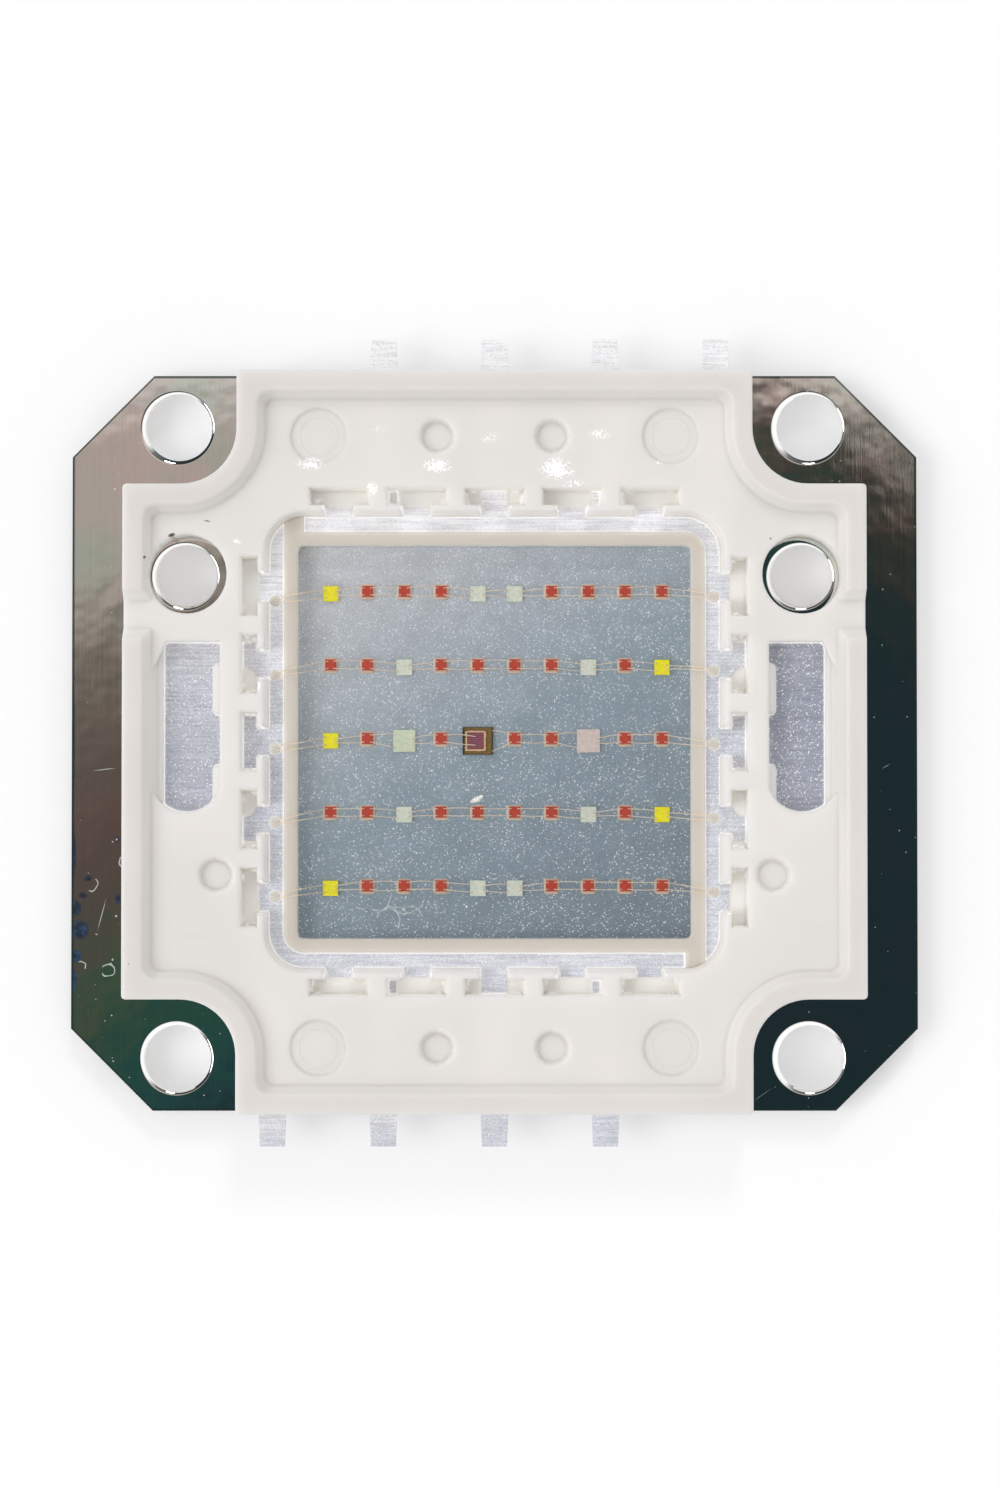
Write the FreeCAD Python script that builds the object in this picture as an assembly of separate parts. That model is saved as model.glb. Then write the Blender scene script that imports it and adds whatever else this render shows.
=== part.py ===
import FreeCAD, Part
import math
import os

# Chip-on-board LED emitter: a plated copper base plate carries a white moulded housing, two flat
# leads, five strings of ten dies in a square window, their bond wires and a clear filling.
# Millimetres. X runs along the strings, Y across them, Z up out of the window; the origin is the
# centre of the plate's underside.

# Small rounds repeat often, so they have flat sides, and small corners are two short cuts
round_sides = 16
cap_sides = 10
least_arc_r = 0.4

# Base plate; its screws and side holes are placed from the sides of the housing
plate_length = 46.0
plate_width = 40.0
plate_thickness = 1.5
plate_chamfer = 4.45
screw_inset_x = 2.825
screw_inset_y = 2.85
screw_hole_r = 1.8
side_hole_inset = 3.25
side_hole_y = 9.05
side_hole_r = 1.65

# Housing: a square as wide as the plate, with a raised rim and corner pockets for screw heads;
# the openings over the side holes stand a little inward of them
face_height = 2.0
rim_rise = 0.8
rim_width = 1.05
rim_slope = 0.45
screw_pocket = 3.3
pocket_fillet = 3.0
outline_corner_r = 0.2
tray_corner_r = 0.55
side_opening_clearance = 0.5
side_opening_shift = 0.15
notch_y = 6.85
notch_width = 1.5
notch_slope = 0.6

# Moulded rivets that hold the housing to the plate, sink marks above them, ejector dimples
end_mark_inset = 3.5
rivet_x = 9.5
rivet_r = 1.0
rivet_foot_r = 1.5
sink_mark_r = 1.52
sink_mark_depth = 0.12
dimple_r = 1.0
dimple_floor_r = 0.78
dimple_depth = 0.4
end_dimple_x = 3.1
side_dimple_gap = 1.38
side_dimple_y = -7.2

# Window, the lip round it and the channel in which the leads lie bare
window_side = 21.3
window_corner_r = 0.3
lip_width = 0.75
lip_rise = 0.2
lip_corner_r = 1.1
channel_width = 0.8
channel_draft = 0.25
channel_corner_r = 1.9
bridge_length = 1.08

# T-shaped slots along the channel, five a side
slot_count = 5
slot_end_margin = 0.15
slot_stem_width = 1.5
slot_bar_length = 3.05
slot_bar_width = 0.75
slot_bar_offset = 0.67
slot_floor_drop = 0.1
slot_draft = 0.1

# Leads
lead_thickness = 0.3
lead_height = 0.9
lead_cover = 0.15
stub_width = 1.4
end_stub_width = 1.25
stub_length = 0.52
neck_width = 1.3
neck_shift = 0.5
neck_fillet = 0.55
middle_neck_width = 2.8
plate_pad_half = 5.5

# Tie pins, left where the leads were cut out of their strip
pin_count = 4
pin_root_width = 1.4
pin_width = 1.5
pin_tip_width = 1.35
pin_flare_length = 0.6
pin_length = 1.86

# Solder pads: a pocket in the face with a ledge, and the bare lead at its floor. The lower end
# is an arc whose radius is a little more than half the pocket's width
pad_slot_gap = 1.18
pad_rim_gap = 0.6
pad_top_y = 5.4
pad_corner_cut = 0.175
pad_round_ease = 0.15
pad_round_y = -1.82
ledge_height = 1.45
tab_depth = 0.4
tab_corner_r = 0.2
tab_spans = ((1.48, 4.22), (-3.4, -1.26))
lead_in_width = 0.8
lead_in_length = 1.6

# Dies: the window's margin round their grid, and the grid's small shift
columns = 10
grid_margin = 0.65
grid_x = 0.1
grid_y = 0.14
red_shift_y = 0.065

# Each row from the top, left to right: Y yellow, r red, p pale, G pale green, K pale pink,
# I infrared
rows = (
    "Yrrrpprrrr",
    "rrprrrrprY",
    "YrGrIrrKrr",
    "rrprrrrprY",
    "Yrrrpprrrr",
)

# Side and height of each kind, then where its wires land, from its centre: along and across the
# string on the arriving side, then on the leaving side
die_kinds = {
    "r": {"name": "red", "side": 0.76, "top": 0.6, "height": 0.2,
          "arrive": (-0.17, 0.19), "leave": (0.17, 0.19)},
    "Y": {"name": "yellow", "side": 0.82, "height": 0.2,
          "arrive": (-0.26, 0.2), "leave": (0.26, 0.1)},
    "p": {"name": "pale", "side": 0.85, "height": 0.15,
          "arrive": (-0.28, 0.2), "leave": (0.28, 0.1)},
    "G": {"name": "pale_green", "side": 1.2, "height": 0.15,
          "arrive": (-0.45, 0.4), "leave": (0.45, 0.12)},
    "K": {"name": "pale_pink", "side": 1.25, "height": 0.15,
          "arrive": (-0.45, 0.4), "leave": (0.45, 0.12)},
    "I": {"name": "infrared", "side": 1.17, "height": 0.12,
          "arrive": (0.0, 0.23), "leave": (0.68, 0.55)},
}
submount_length = 1.66
submount_width = 1.5
submount_height = 0.15
submount_shift = 0.13

# Bond wires and the clear caps over their ends on the leads
wire_d = 0.05
wire_foot = 0.08
wire_loop_rise = 0.22
wire_peak_share = 0.3
lip_wire_clearance = 0.07
lead_wire_rise_run = 0.33
lead_wire_inset = 0.2
lead_wire_gap = 0.2
cap_r = 0.32
cap_shoulder_r = 0.27
cap_crown_r = 0.14
cap_shoulder_height = 0.12
cap_height = 0.2
cap_inset = 0.48
left_cap_shift_y = -0.5
right_cap_shift_y = -0.27

# Levels
plate_top = plate_thickness
lead_top = plate_top + lead_height
lead_bottom = lead_top - lead_thickness
slot_floor = lead_top - slot_floor_drop
lip_top = lead_top + lip_rise
ledge_top = plate_top + ledge_height
face_top = plate_top + face_height
rim_top = face_top + rim_rise

# Half widths of the squares round the window, and where the slots' bars lie
window_half = window_side / 2
lip_half = window_half + lip_width
channel_half = lip_half + channel_width
bar_inner = channel_half + slot_bar_offset
bar_outer = bar_inner + slot_bar_width
strip_inner = lip_half - lead_cover
strip_outer = channel_half + lead_cover

# Places that follow the housing's sides
housing_half = plate_width / 2
rim_foot = housing_half - rim_width - rim_slope
screw_x = housing_half - screw_inset_x
screw_y = housing_half - screw_inset_y
side_hole_x = housing_half - side_hole_inset
side_opening_x = side_hole_x - side_opening_shift
end_mark_y = housing_half - end_mark_inset
pad_inner_x = bar_outer + pad_slot_gap
pad_outer_x = rim_foot - pad_rim_gap
pad_round_x = (pad_inner_x + rim_foot) / 2
pad_round_r = (rim_foot - pad_inner_x) / 2 + pad_round_ease

# Pitches that fill the window's sides
slot_pitch = (window_side - 2 * slot_end_margin) / slot_count
die_pitch = (window_side - 2 * grid_margin) / columns
row_pitch = (window_side - 2 * grid_margin) / len(rows)
pin_pitch = (strip_outer - pin_root_width / 4) / (pin_count / 2)

Z_AXIS = FreeCAD.Vector(0, 0, 1)
X_AXIS = FreeCAD.Vector(1, 0, 0)
ORIGIN = FreeCAD.Vector(0, 0, 0)

# Places closer than this are the same
SAME_PLACE = 1e-6


def rounded_loop(corners, z):
    """Closed wire at height z through (x, y, radius) corners, each rounded by its own radius."""
    places = [FreeCAD.Vector(x, y, z) for x, y, radius in corners]
    count = len(places)
    bends = []
    for i, here in enumerate(places):
        radius = corners[i][2]
        back = (places[i - 1] - here).normalize()
        ahead = (places[(i + 1) % count] - here).normalize()
        if radius == 0:
            bends.append((here, None, here))
            continue
        half_angle = back.getAngle(ahead) / 2
        tangent = radius / math.tan(half_angle)
        inward = (back + ahead).normalize()
        middle = here + inward * (radius / math.sin(half_angle) - radius)
        bends.append((here + back * tangent, middle, here + ahead * tangent))
    edges = []
    for i, (start, middle, end) in enumerate(bends):
        if middle and corners[i][2] >= least_arc_r:
            edges.append(Part.Arc(start, middle, end).toShape())
        elif middle:
            edges += [Part.LineSegment(start, middle).toShape(),
                      Part.LineSegment(middle, end).toShape()]
        following = bends[(i + 1) % count][0]
        if not end.isEqual(following, SAME_PLACE):
            edges.append(Part.LineSegment(end, following).toShape())
    return Part.Wire(edges)


def prism(corners, low, high):
    """Upright solid between two levels over a rounded outline."""
    return Part.Face(rounded_loop(corners, low)).extrude(Z_AXIS * (high - low))


def tapered(low_corners, low, high_corners, high):
    """Solid between two rounded outlines of the same form at two levels."""
    wires = [rounded_loop(low_corners, low), rounded_loop(high_corners, high)]
    return Part.makeLoft(wires, True, True)


def tapered_flat(low_corners, low, high_corners, high):
    """Solid with flat sloping walls between two straight-sided outlines at two levels."""
    floor = [FreeCAD.Vector(x, y, low) for x, y, radius in low_corners]
    roof = [FreeCAD.Vector(x, y, high) for x, y, radius in high_corners]
    rings = [floor, roof]
    for i, corner in enumerate(floor):
        rings.append([floor[i - 1], corner, roof[i], roof[i - 1]])
    faces = [Part.Face(Part.makePolygon(ring + ring[:1])) for ring in rings]
    return Part.makeSolid(Part.makeShell(faces))


def rectangle(x0, x1, y0, y1, radius=0):
    """Corners of an upright rectangle, counter-clockwise."""
    return [(x0, y0, radius), (x1, y0, radius), (x1, y1, radius), (x0, y1, radius)]


def square(half, radius):
    """Corners of a square centred on the window."""
    return rectangle(-half, half, -half, half, radius)


def quarter_turned(shape, quarters):
    """Copy of a shape turned about the window's axis by quarter turns."""
    copy = shape.copy()
    copy.rotate(ORIGIN, Z_AXIS, 90 * quarters)
    return copy


def mirrored(shape):
    """The shape and its mirror image on the other side of the YZ plane."""
    return [shape, shape.mirror(ORIGIN, X_AXIS)]


def four_places(x, y, z):
    """The same place in each of the four quadrants."""
    return [FreeCAD.Vector(sx * x, sy * y, z) for sx in (-1, 1) for sy in (-1, 1)]


def side_places(x, z):
    """Middles of the two side holes, or of the openings over them."""
    return [FreeCAD.Vector(side * x, side_hole_y, z) for side in (-1, 1)]


def round_block(place, low_r, high_r, height, sides):
    """Upright solid with many flat sides on a place, round which its two outlines run."""
    turns = [2 * math.pi * i / sides for i in range(sides)]
    low, high = [[(place.x + radius * math.cos(turn), place.y + radius * math.sin(turn), 0)
                  for turn in turns] for radius in (low_r, high_r)]
    return tapered_flat(low, place.z, high, place.z + height)


def rivets():
    """Moulded rivets that fill tapered holes through the plate, flush with its underside."""
    return [round_block(place, rivet_foot_r, rivet_r, plate_top, round_sides)
            for place in four_places(rivet_x, end_mark_y, 0)]


def base_plate():
    """Flat plate with cut corners, four screw holes, two side holes and the rivets' holes."""
    x = plate_length / 2
    y = plate_width / 2
    cut = plate_chamfer
    corners = [(x - cut, -y, 0), (x, cut - y, 0), (x, y - cut, 0), (x - cut, y, 0),
               (cut - x, y, 0), (-x, y - cut, 0), (-x, cut - y, 0), (cut - x, -y, 0)]
    plate = prism(corners, 0, plate_top)
    holes = [Part.makeCylinder(screw_hole_r, plate_top, place)
             for place in four_places(screw_x, screw_y, 0)]
    holes += [Part.makeCylinder(side_hole_r, plate_top, place)
              for place in side_places(side_hole_x, 0)]
    return plate.cut(holes + rivets())


def housing_outline(inset, corner_r):
    """Corners of the housing's outline, moved in by an inset: a square with four pockets."""
    side = housing_half - inset
    step_x = screw_x - screw_pocket - inset
    step_y = screw_y - screw_pocket - inset
    inner_r = pocket_fillet + inset
    corners = []
    for sx, sy in ((1, 1), (-1, 1), (-1, -1), (1, -1)):
        pocket = [(sx * side, sy * step_y, corner_r), (sx * step_x, sy * step_y, inner_r),
                  (sx * step_x, sy * side, corner_r)]
        corners += pocket if sx == sy else pocket[::-1]
    return corners


def housing_tray():
    """Space inside the raised rim, with its sloping wall."""
    return tapered(housing_outline(rim_width + rim_slope, tray_corner_r), face_top,
                   housing_outline(rim_width, tray_corner_r + rim_slope / 2), rim_top)


def wire_notches():
    """Two gaps through the rim, level with the face, where supply wires leave sideways."""
    half = notch_width / 2
    top_half = half + notch_slope
    points = [(notch_y - half, face_top), (notch_y + half, face_top),
              (notch_y + top_half, rim_top), (notch_y - top_half, rim_top)]
    places = [FreeCAD.Vector(rim_foot, y, z) for y, z in points]
    section = Part.Face(Part.makePolygon(places + places[:1]))
    return mirrored(section.extrude(X_AXIS * (housing_half - rim_foot)))


def bridges(low, high):
    """Plastic that closes the channel between the two leads' ends, at two opposite corners."""
    bar = prism(rectangle(-lip_half, bridge_length - lip_half, lip_half - lip_corner_r,
                          channel_half + channel_draft), low, high)
    return [bar, quarter_turned(bar, 2)]


def channel():
    """Open square round the window above the leads, less the lip and the two bridges."""
    space = tapered(square(channel_half, channel_corner_r), lead_top,
                    square(channel_half + channel_draft, channel_corner_r + channel_draft),
                    face_top)
    lip = prism(square(lip_half, lip_corner_r), lead_top, lip_top)
    return space.cut([lip] + bridges(lead_top, lip_top))


def slot_corners(centre, grow):
    """T-shaped outline on the upper side of the channel, grown by the draft."""
    stem = slot_stem_width / 2 + grow
    bar = slot_bar_length / 2 + grow
    low = channel_half - lead_cover
    inner = bar_inner - grow
    outer = bar_outer + grow
    return [(centre - stem, low, 0), (centre + stem, low, 0), (centre + stem, inner, 0),
            (centre + bar, inner, 0), (centre + bar, outer, 0), (centre - bar, outer, 0),
            (centre - bar, inner, 0), (centre - stem, inner, 0)]


def slot_centres():
    """Places of the slots along one side."""
    return [(i - (slot_count - 1) / 2) * slot_pitch for i in range(slot_count)]


def slots():
    """All T-shaped slots, with sloping walls."""
    cutters = []
    for centre in slot_centres():
        slot = tapered_flat(slot_corners(centre, 0), slot_floor,
                            slot_corners(centre, slot_draft), face_top)
        cutters += [quarter_turned(slot, quarters) for quarters in range(4)]
    return cutters


def pad_round_drop(x):
    """How far the pad's rounded end reaches below its centre at a distance x along it."""
    return math.sqrt(max(pad_round_r ** 2 - (x - pad_round_x) ** 2, 0))


def pad_outline(outer, z, cut_x, cut_y):
    """Face of the right-hand pad: a cut corner at the top, one large arc at the bottom."""
    low_outer = FreeCAD.Vector(outer, pad_round_y - pad_round_drop(outer), z)
    low_inner = FreeCAD.Vector(pad_inner_x, pad_round_y - pad_round_drop(pad_inner_x), z)
    lowest = FreeCAD.Vector(pad_round_x, pad_round_y - pad_round_r, z)
    path = [low_outer, FreeCAD.Vector(outer, pad_top_y - cut_y, z),
            FreeCAD.Vector(outer - cut_x, pad_top_y, z),
            FreeCAD.Vector(pad_inner_x, pad_top_y, z), low_inner]
    edges = [Part.LineSegment(a, b).toShape() for a, b in zip(path, path[1:])]
    edges.append(Part.Arc(low_inner, lowest, low_outer).toShape())
    return Part.Face(Part.Wire(edges))


def pad_pockets():
    """Both solder pads: a pocket down to the ledge, and an opening from there to the lead."""
    slope_foot = rim_foot - (face_top - ledge_top) * rim_slope / rim_rise
    floor = pad_outline(rim_foot, ledge_top, lead_in_width, lead_in_length)
    pocket = floor.extrude(Z_AXIS * (face_top - ledge_top))
    wall = [(pad_inner_x, ledge_top), (slope_foot, ledge_top), (rim_foot, face_top),
            (pad_inner_x, face_top)]
    places = [FreeCAD.Vector(x, -housing_half, z) for x, z in wall]
    section = Part.Face(Part.makePolygon(places + places[:1]))
    pocket = pocket.common(section.extrude(FreeCAD.Vector(0, plate_width, 0)))
    opening = pad_outline(pad_outer_x, lead_top, pad_corner_cut, pad_corner_cut)
    opening = opening.extrude(Z_AXIS * (ledge_top - lead_top))
    tabs = [prism([(pad_inner_x - tab_depth, low, 0), (pad_inner_x + tab_depth, low, tab_corner_r),
                   (pad_inner_x + tab_depth, high, tab_corner_r),
                   (pad_inner_x - tab_depth, high, 0)], lead_top, ledge_top)
            for low, high in tab_spans]
    return mirrored(pocket) + mirrored(opening.cut(tabs))


def dimples():
    """Six shallow cups left by the mould's ejectors."""
    floor = face_top - dimple_depth
    places = four_places(end_dimple_x, end_mark_y, floor)
    places += [FreeCAD.Vector(side * (bar_outer + side_dimple_gap), side_dimple_y, floor)
               for side in (-1, 1)]
    return [round_block(place, dimple_floor_r, dimple_r, dimple_depth, round_sides)
            for place in places]


def sink_marks():
    """Shallow rounds in the face above the rivets."""
    floor = face_top - sink_mark_depth
    return [round_block(place, sink_mark_r, sink_mark_r, sink_mark_depth, round_sides)
            for place in four_places(rivet_x, end_mark_y, floor)]


def housing(leads):
    """White moulding round the leads: rim, face, pockets, slots, window, lip and rivets."""
    block = prism(housing_outline(0, outline_corner_r), plate_top, rim_top)
    window = prism(square(window_half, window_corner_r), plate_top, lip_top)
    opening_r = side_hole_r + side_opening_clearance
    openings = [Part.makeCylinder(opening_r, rim_top - plate_top, place)
                for place in side_places(side_opening_x, plate_top)]
    body = block.cut([housing_tray()] + wire_notches())
    body = body.cut([channel(), window] + slots())
    body = body.cut(pad_pockets() + openings + dimples() + sink_marks())
    body = body.fuse(rivets()).removeSplitter()
    return body.cut(leads)


def side_neck():
    """Lead metal from the slot above the middle of the left side out to the solder pad."""
    root = slot_pitch - stub_width / 2
    low = slot_pitch + neck_shift - neck_width / 2
    bend = min(neck_fillet, low - root)
    return prism([(-strip_inner, root, 0), (-strip_inner, root + stub_width, 0),
                  (-bar_inner, root + stub_width, 0), (-bar_inner, low + neck_width, 0),
                  (-pad_inner_x - lead_cover, low + neck_width, 0),
                  (-pad_inner_x - lead_cover, low, 0), (-bar_inner, low, bend),
                  (-bar_inner, root, 0)], lead_bottom, lead_top)


def pin(x):
    """Tie pin on the lower edge, from the strip out past the housing."""
    root = pin_root_width / 2
    width = pin_width / 2
    tip = pin_tip_width / 2
    start = -strip_inner - lead_cover
    flare = pin_flare_length - housing_half
    return prism([(x - root, start, 0), (x - root, flare, 0), (x - width, -housing_half, 0),
                  (x - tip, -housing_half - pin_length, 0),
                  (x + tip, -housing_half - pin_length, 0), (x + width, -housing_half, 0),
                  (x + root, flare, 0), (x + root, start, 0)], lead_bottom, lead_top)


def lead_left_bottom():
    """Flat lead along the left and lower sides of the window, with its stubs, pad and pins."""
    outer = prism(square(strip_outer, channel_corner_r + lead_cover), lead_bottom, lead_top)
    inner = prism(square(strip_inner, lip_corner_r - lead_cover), lead_bottom, lead_top)
    bottom_end = lip_half - bridge_length + lead_cover
    other_lead = [prism(rectangle(-strip_inner, housing_half, 0, housing_half),
                        lead_bottom, lead_top),
                  prism(rectangle(bottom_end, housing_half, -housing_half, 0),
                        lead_bottom, lead_top)]
    strip = outer.cut([inner] + other_lead)
    stub_end = channel_half + stub_length
    pieces = []
    for centre in slot_centres():
        if abs(centre) > slot_pitch:
            pieces.append(prism(rectangle(-stub_end, -strip_inner, centre - stub_width / 2,
                                          centre + stub_width / 2), lead_bottom, lead_top))
        if centre:
            half = end_stub_width / 2
            pieces.append(prism(rectangle(centre - half, centre + half, -stub_end,
                                          -strip_inner), lead_bottom, lead_top))
    half = stub_width / 2
    pieces.append(prism(rectangle(-bar_inner, -strip_inner, -half, half),
                        lead_bottom, lead_top))
    half = middle_neck_width / 2
    pieces.append(prism(rectangle(-pad_inner_x - lead_cover, -bar_inner, -half, half),
                        lead_bottom, lead_top))
    neck = side_neck()
    pieces += [neck, neck.mirror(ORIGIN, FreeCAD.Vector(0, 1, 0))]
    pieces.append(prism(rectangle(-pad_outer_x - lead_cover, lead_cover - pad_inner_x,
                                  -plate_pad_half, plate_pad_half), lead_bottom, lead_top))
    pieces += [pin((i - pin_count / 2) * pin_pitch) for i in range(pin_count)]
    return strip.fuse(pieces).removeSplitter()


def die_centre(row, column):
    """Middle of a die's place in the grid, on the plate."""
    shift = red_shift_y if rows[row][column] == "r" else -red_shift_y
    x = (column - (columns - 1) / 2) * die_pitch + grid_x
    y = ((len(rows) - 1) / 2 - row) * row_pitch + grid_y + shift
    return FreeCAD.Vector(x, y, plate_top)


def block_on(centre, length, width, height):
    """Plain block standing on a place."""
    corner = centre - FreeCAD.Vector(length / 2, width / 2, 0)
    return Part.makeBox(length, width, height, corner)


def submount_place():
    """Where the infrared emitter's submount stands."""
    for row, line in enumerate(rows):
        if "I" in line:
            return die_centre(row, line.index("I"))


def die(row, column):
    """One die: a block on the plate, with sloping flanks where its kind has a smaller top."""
    kind = die_kinds[rows[row][column]]
    centre = die_centre(row, column)
    if kind["name"] == "infrared":
        centre = centre + FreeCAD.Vector(-submount_shift, 0, submount_height)
    foot = square(kind["side"] / 2, 0)
    top = square(kind.get("top", kind["side"]) / 2, 0)
    solid = tapered_flat(foot, 0, top, kind["height"])
    solid.translate(centre)
    return solid


def wire_place(row, column, end, side):
    """Where a wire lands on a die: end is arrive or leave, side is -1 or 1 across the string."""
    kind = die_kinds[rows[row][column]]
    along, across = kind[end]
    place = die_centre(row, column) + FreeCAD.Vector(along, side * across, kind["height"])
    if kind["name"] == "infrared" and end == "arrive":
        place += FreeCAD.Vector(-submount_shift, 0, submount_height)
    elif kind["name"] == "infrared":
        place.z = plate_top + submount_height
    return place


def flat_distance(start, end):
    """Distance between two places as seen from above."""
    return math.hypot(end.x - start.x, end.y - start.y)


def wire(start, end, profile):
    """Square wire between two places, whose side view has points at (run, height)."""
    along = FreeCAD.Vector(end.x - start.x, end.y - start.y, 0).normalize()
    across = FreeCAD.Vector(-along.y, along.x, 0) * wire_d
    base = FreeCAD.Vector(start.x, start.y, 0) - across * 0.5
    places = [base + along * run + Z_AXIS * height for run, height in profile]
    return Part.Face(Part.makePolygon(places + places[:1])).extrude(across)


def string_wire(start, end):
    """Wire between two dies: a steep rise from the first, then a long fall to the next."""
    length = flat_distance(start, end)
    crest = length * wire_peak_share
    peak = max(start.z, end.z) + wire_loop_rise
    return wire(start, end, [(0, start.z), (crest, peak), (length, end.z),
                             (length - wire_foot, end.z), (crest, peak - wire_d),
                             (wire_foot, start.z)])


def lead_wire(start, end):
    """Wire from a lead to a die: up a slope, level over the lip, down a slope."""
    length = flat_distance(start, end)
    lip_end = lip_half - window_half + cap_inset + lead_wire_inset
    low = lip_top + lip_wire_clearance
    peak = low + wire_d
    bend = wire_d / 2
    return wire(start, end, [(0, start.z), (lead_wire_rise_run - bend, peak),
                             (lip_end + bend, peak), (length, end.z),
                             (length - wire_foot, end.z), (lip_end, low),
                             (lead_wire_rise_run, low), (wire_foot, start.z)])


def string_wires():
    """Two wires over each gap between neighbouring dies of every row."""
    wires = []
    for row in range(len(rows)):
        for column in range(columns - 1):
            for side in (-1, 1):
                wires.append(string_wire(wire_place(row, column, "leave", side),
                                         wire_place(row, column + 1, "arrive", side)))
    return wires


def cap_place(row, side):
    """Middle of the cap on the lead beside a row: side is -1 on the left, 1 on the right."""
    shift = left_cap_shift_y if side < 0 else right_cap_shift_y
    y = ((len(rows) - 1) / 2 - row) * row_pitch + grid_y + shift
    return FreeCAD.Vector(side * (lip_half + cap_inset), y, lead_top)


def lead_wires():
    """Two wires from each lead over the lip to the end die of every row."""
    wires = []
    for row in range(len(rows)):
        for end, column, direction in (("arrive", 0, -1), ("leave", columns - 1, 1)):
            for side in (-1, 1):
                foot = cap_place(row, direction)
                foot = foot + FreeCAD.Vector(0, side * lead_wire_gap / 2, 0)
                wires.append(lead_wire(foot, wire_place(row, column, end, side)))
    return wires


def bond_caps(wires):
    """Low clear domes on the leads, formed round the ends of the wires."""
    caps = []
    for row in range(len(rows)):
        for side in (-1, 1):
            place = cap_place(row, side)
            shoulder = place + Z_AXIS * cap_shoulder_height
            cap = round_block(place, cap_r, cap_shoulder_r, cap_shoulder_height, cap_sides)
            crown = round_block(shoulder, cap_shoulder_r, cap_crown_r,
                                cap_height - cap_shoulder_height, cap_sides)
            cap = cap.fuse(crown)
            near = [wire for wire in wires if wire.BoundBox.intersect(cap.BoundBox)]
            caps.append(cap.cut(near))
    return caps


def encapsulant(embedded):
    """Clear filling of the window, level with the lip, round the dies and their wires."""
    filling = prism(square(window_half, window_corner_r), plate_top, lip_top)
    return filling.cut(embedded)


def save(name, solids):
    """Write one named piece, which may be a group of separate solids."""
    shape = solids[0] if len(solids) == 1 else Part.makeCompound(solids)
    shape.exportStep(os.path.join("parts", name + ".step"))


def main():
    os.makedirs("parts", exist_ok=True)
    left_bottom = lead_left_bottom()
    top_right = quarter_turned(left_bottom, 2)
    submount = block_on(submount_place(), submount_length, submount_width, submount_height)
    between = string_wires()
    to_leads = lead_wires()
    embedded = [submount] + between + to_leads

    save("base_plate", [base_plate()])
    save("housing", [housing([left_bottom, top_right])])
    save("lead_left_bottom", [left_bottom])
    save("lead_top_right", [top_right])
    save("infrared_submount", [submount])
    for row in range(len(rows)):
        for column in range(columns):
            solid = die(row, column)
            embedded.append(solid)
            kind = die_kinds[rows[row][column]]["name"]
            save(f"{kind}_die_{row + 1}_{column + 1:02d}", [solid])
    save("string_wires", between)
    save("lead_wires", to_leads)
    save("bond_caps", bond_caps(to_leads))
    save("encapsulant", [encapsulant(embedded)])


main()
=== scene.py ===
import math

import bmesh
import bpy
import numpy as np
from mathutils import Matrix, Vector


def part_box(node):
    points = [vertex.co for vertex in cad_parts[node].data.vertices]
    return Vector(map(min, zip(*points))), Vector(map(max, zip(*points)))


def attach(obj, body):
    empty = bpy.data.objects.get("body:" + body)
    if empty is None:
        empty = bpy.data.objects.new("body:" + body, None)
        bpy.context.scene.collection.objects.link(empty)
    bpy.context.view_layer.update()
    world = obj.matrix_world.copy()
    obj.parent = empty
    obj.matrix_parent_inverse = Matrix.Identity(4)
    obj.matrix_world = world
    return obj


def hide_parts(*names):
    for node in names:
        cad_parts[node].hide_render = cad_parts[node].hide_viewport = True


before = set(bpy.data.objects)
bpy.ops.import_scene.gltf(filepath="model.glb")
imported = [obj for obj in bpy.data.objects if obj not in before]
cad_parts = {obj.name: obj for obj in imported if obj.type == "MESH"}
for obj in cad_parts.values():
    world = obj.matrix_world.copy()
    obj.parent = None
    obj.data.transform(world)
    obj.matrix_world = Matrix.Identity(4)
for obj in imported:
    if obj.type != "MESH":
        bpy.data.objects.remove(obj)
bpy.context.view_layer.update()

scene = bpy.context.scene
MM = 0.001


# Base plate: copper sheet, stamped and plated with mirror nickel, or inside the window with
# satin silver. A dark band round its outline is painted shade, the rolled lips of its punched
# holes are painted white as a highlight, and the window's silver carries painted light: a slant
# from dark to light, with painted glints on some grains. It has been handled: there are fine
# scratches, lint and dust, and blue tarnish creeps in from its left edge.
plate_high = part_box("base_plate")[1]
gel_low, gel_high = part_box("encapsulant")
corner_cut = 4.45 * MM
hole_edge_roll = 0.22 * MM
# Middle x and y and radius of a corner hole and of a side hole
holes = ((17.175 * MM, 17.15 * MM, 1.8 * MM), (16.75 * MM, 9.05 * MM, 1.65 * MM))
roll_on_right = 0.6
roll_on_left = 1.5
full_lean = 0.9
outline_shade_width = 0.17 * MM
outline_band = 0.1 * MM
torn_height = 1.0 * MM
rolling_mark_pitch = 0.1 * MM
rolling_mark_length = 7.0 * MM
wave_length = 2.2 * MM
tint_patch = 4.5 * MM
blotch_size = 0.4 * MM
lint_width = 0.04
wobble_size = 0.5 * MM
wobble = 0.3 * MM
# Spacing of the dust's specks and the largest one's share of it
dust_sizes = ((0.9 * MM, 0.07), (0.45 * MM, 0.09))
# The silver's grains are drawn coarser than real ones, so that they show
silver_grain = 0.055 * MM
sparkle_patch = 1.6 * MM
window_margin = 0.2 * MM
# Painted light on the window's silver: lighter towards the top left, darker towards the bottom
# right
window_light_slant = (-17.8, 29.1, 0.0)
window_light_stops = ((0.0, "8d9aa5"), (0.5, "a4b3be"), (1.0, "e0e1e5"))
white = (1.0, 1.0, 1.0, 1.0)
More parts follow.
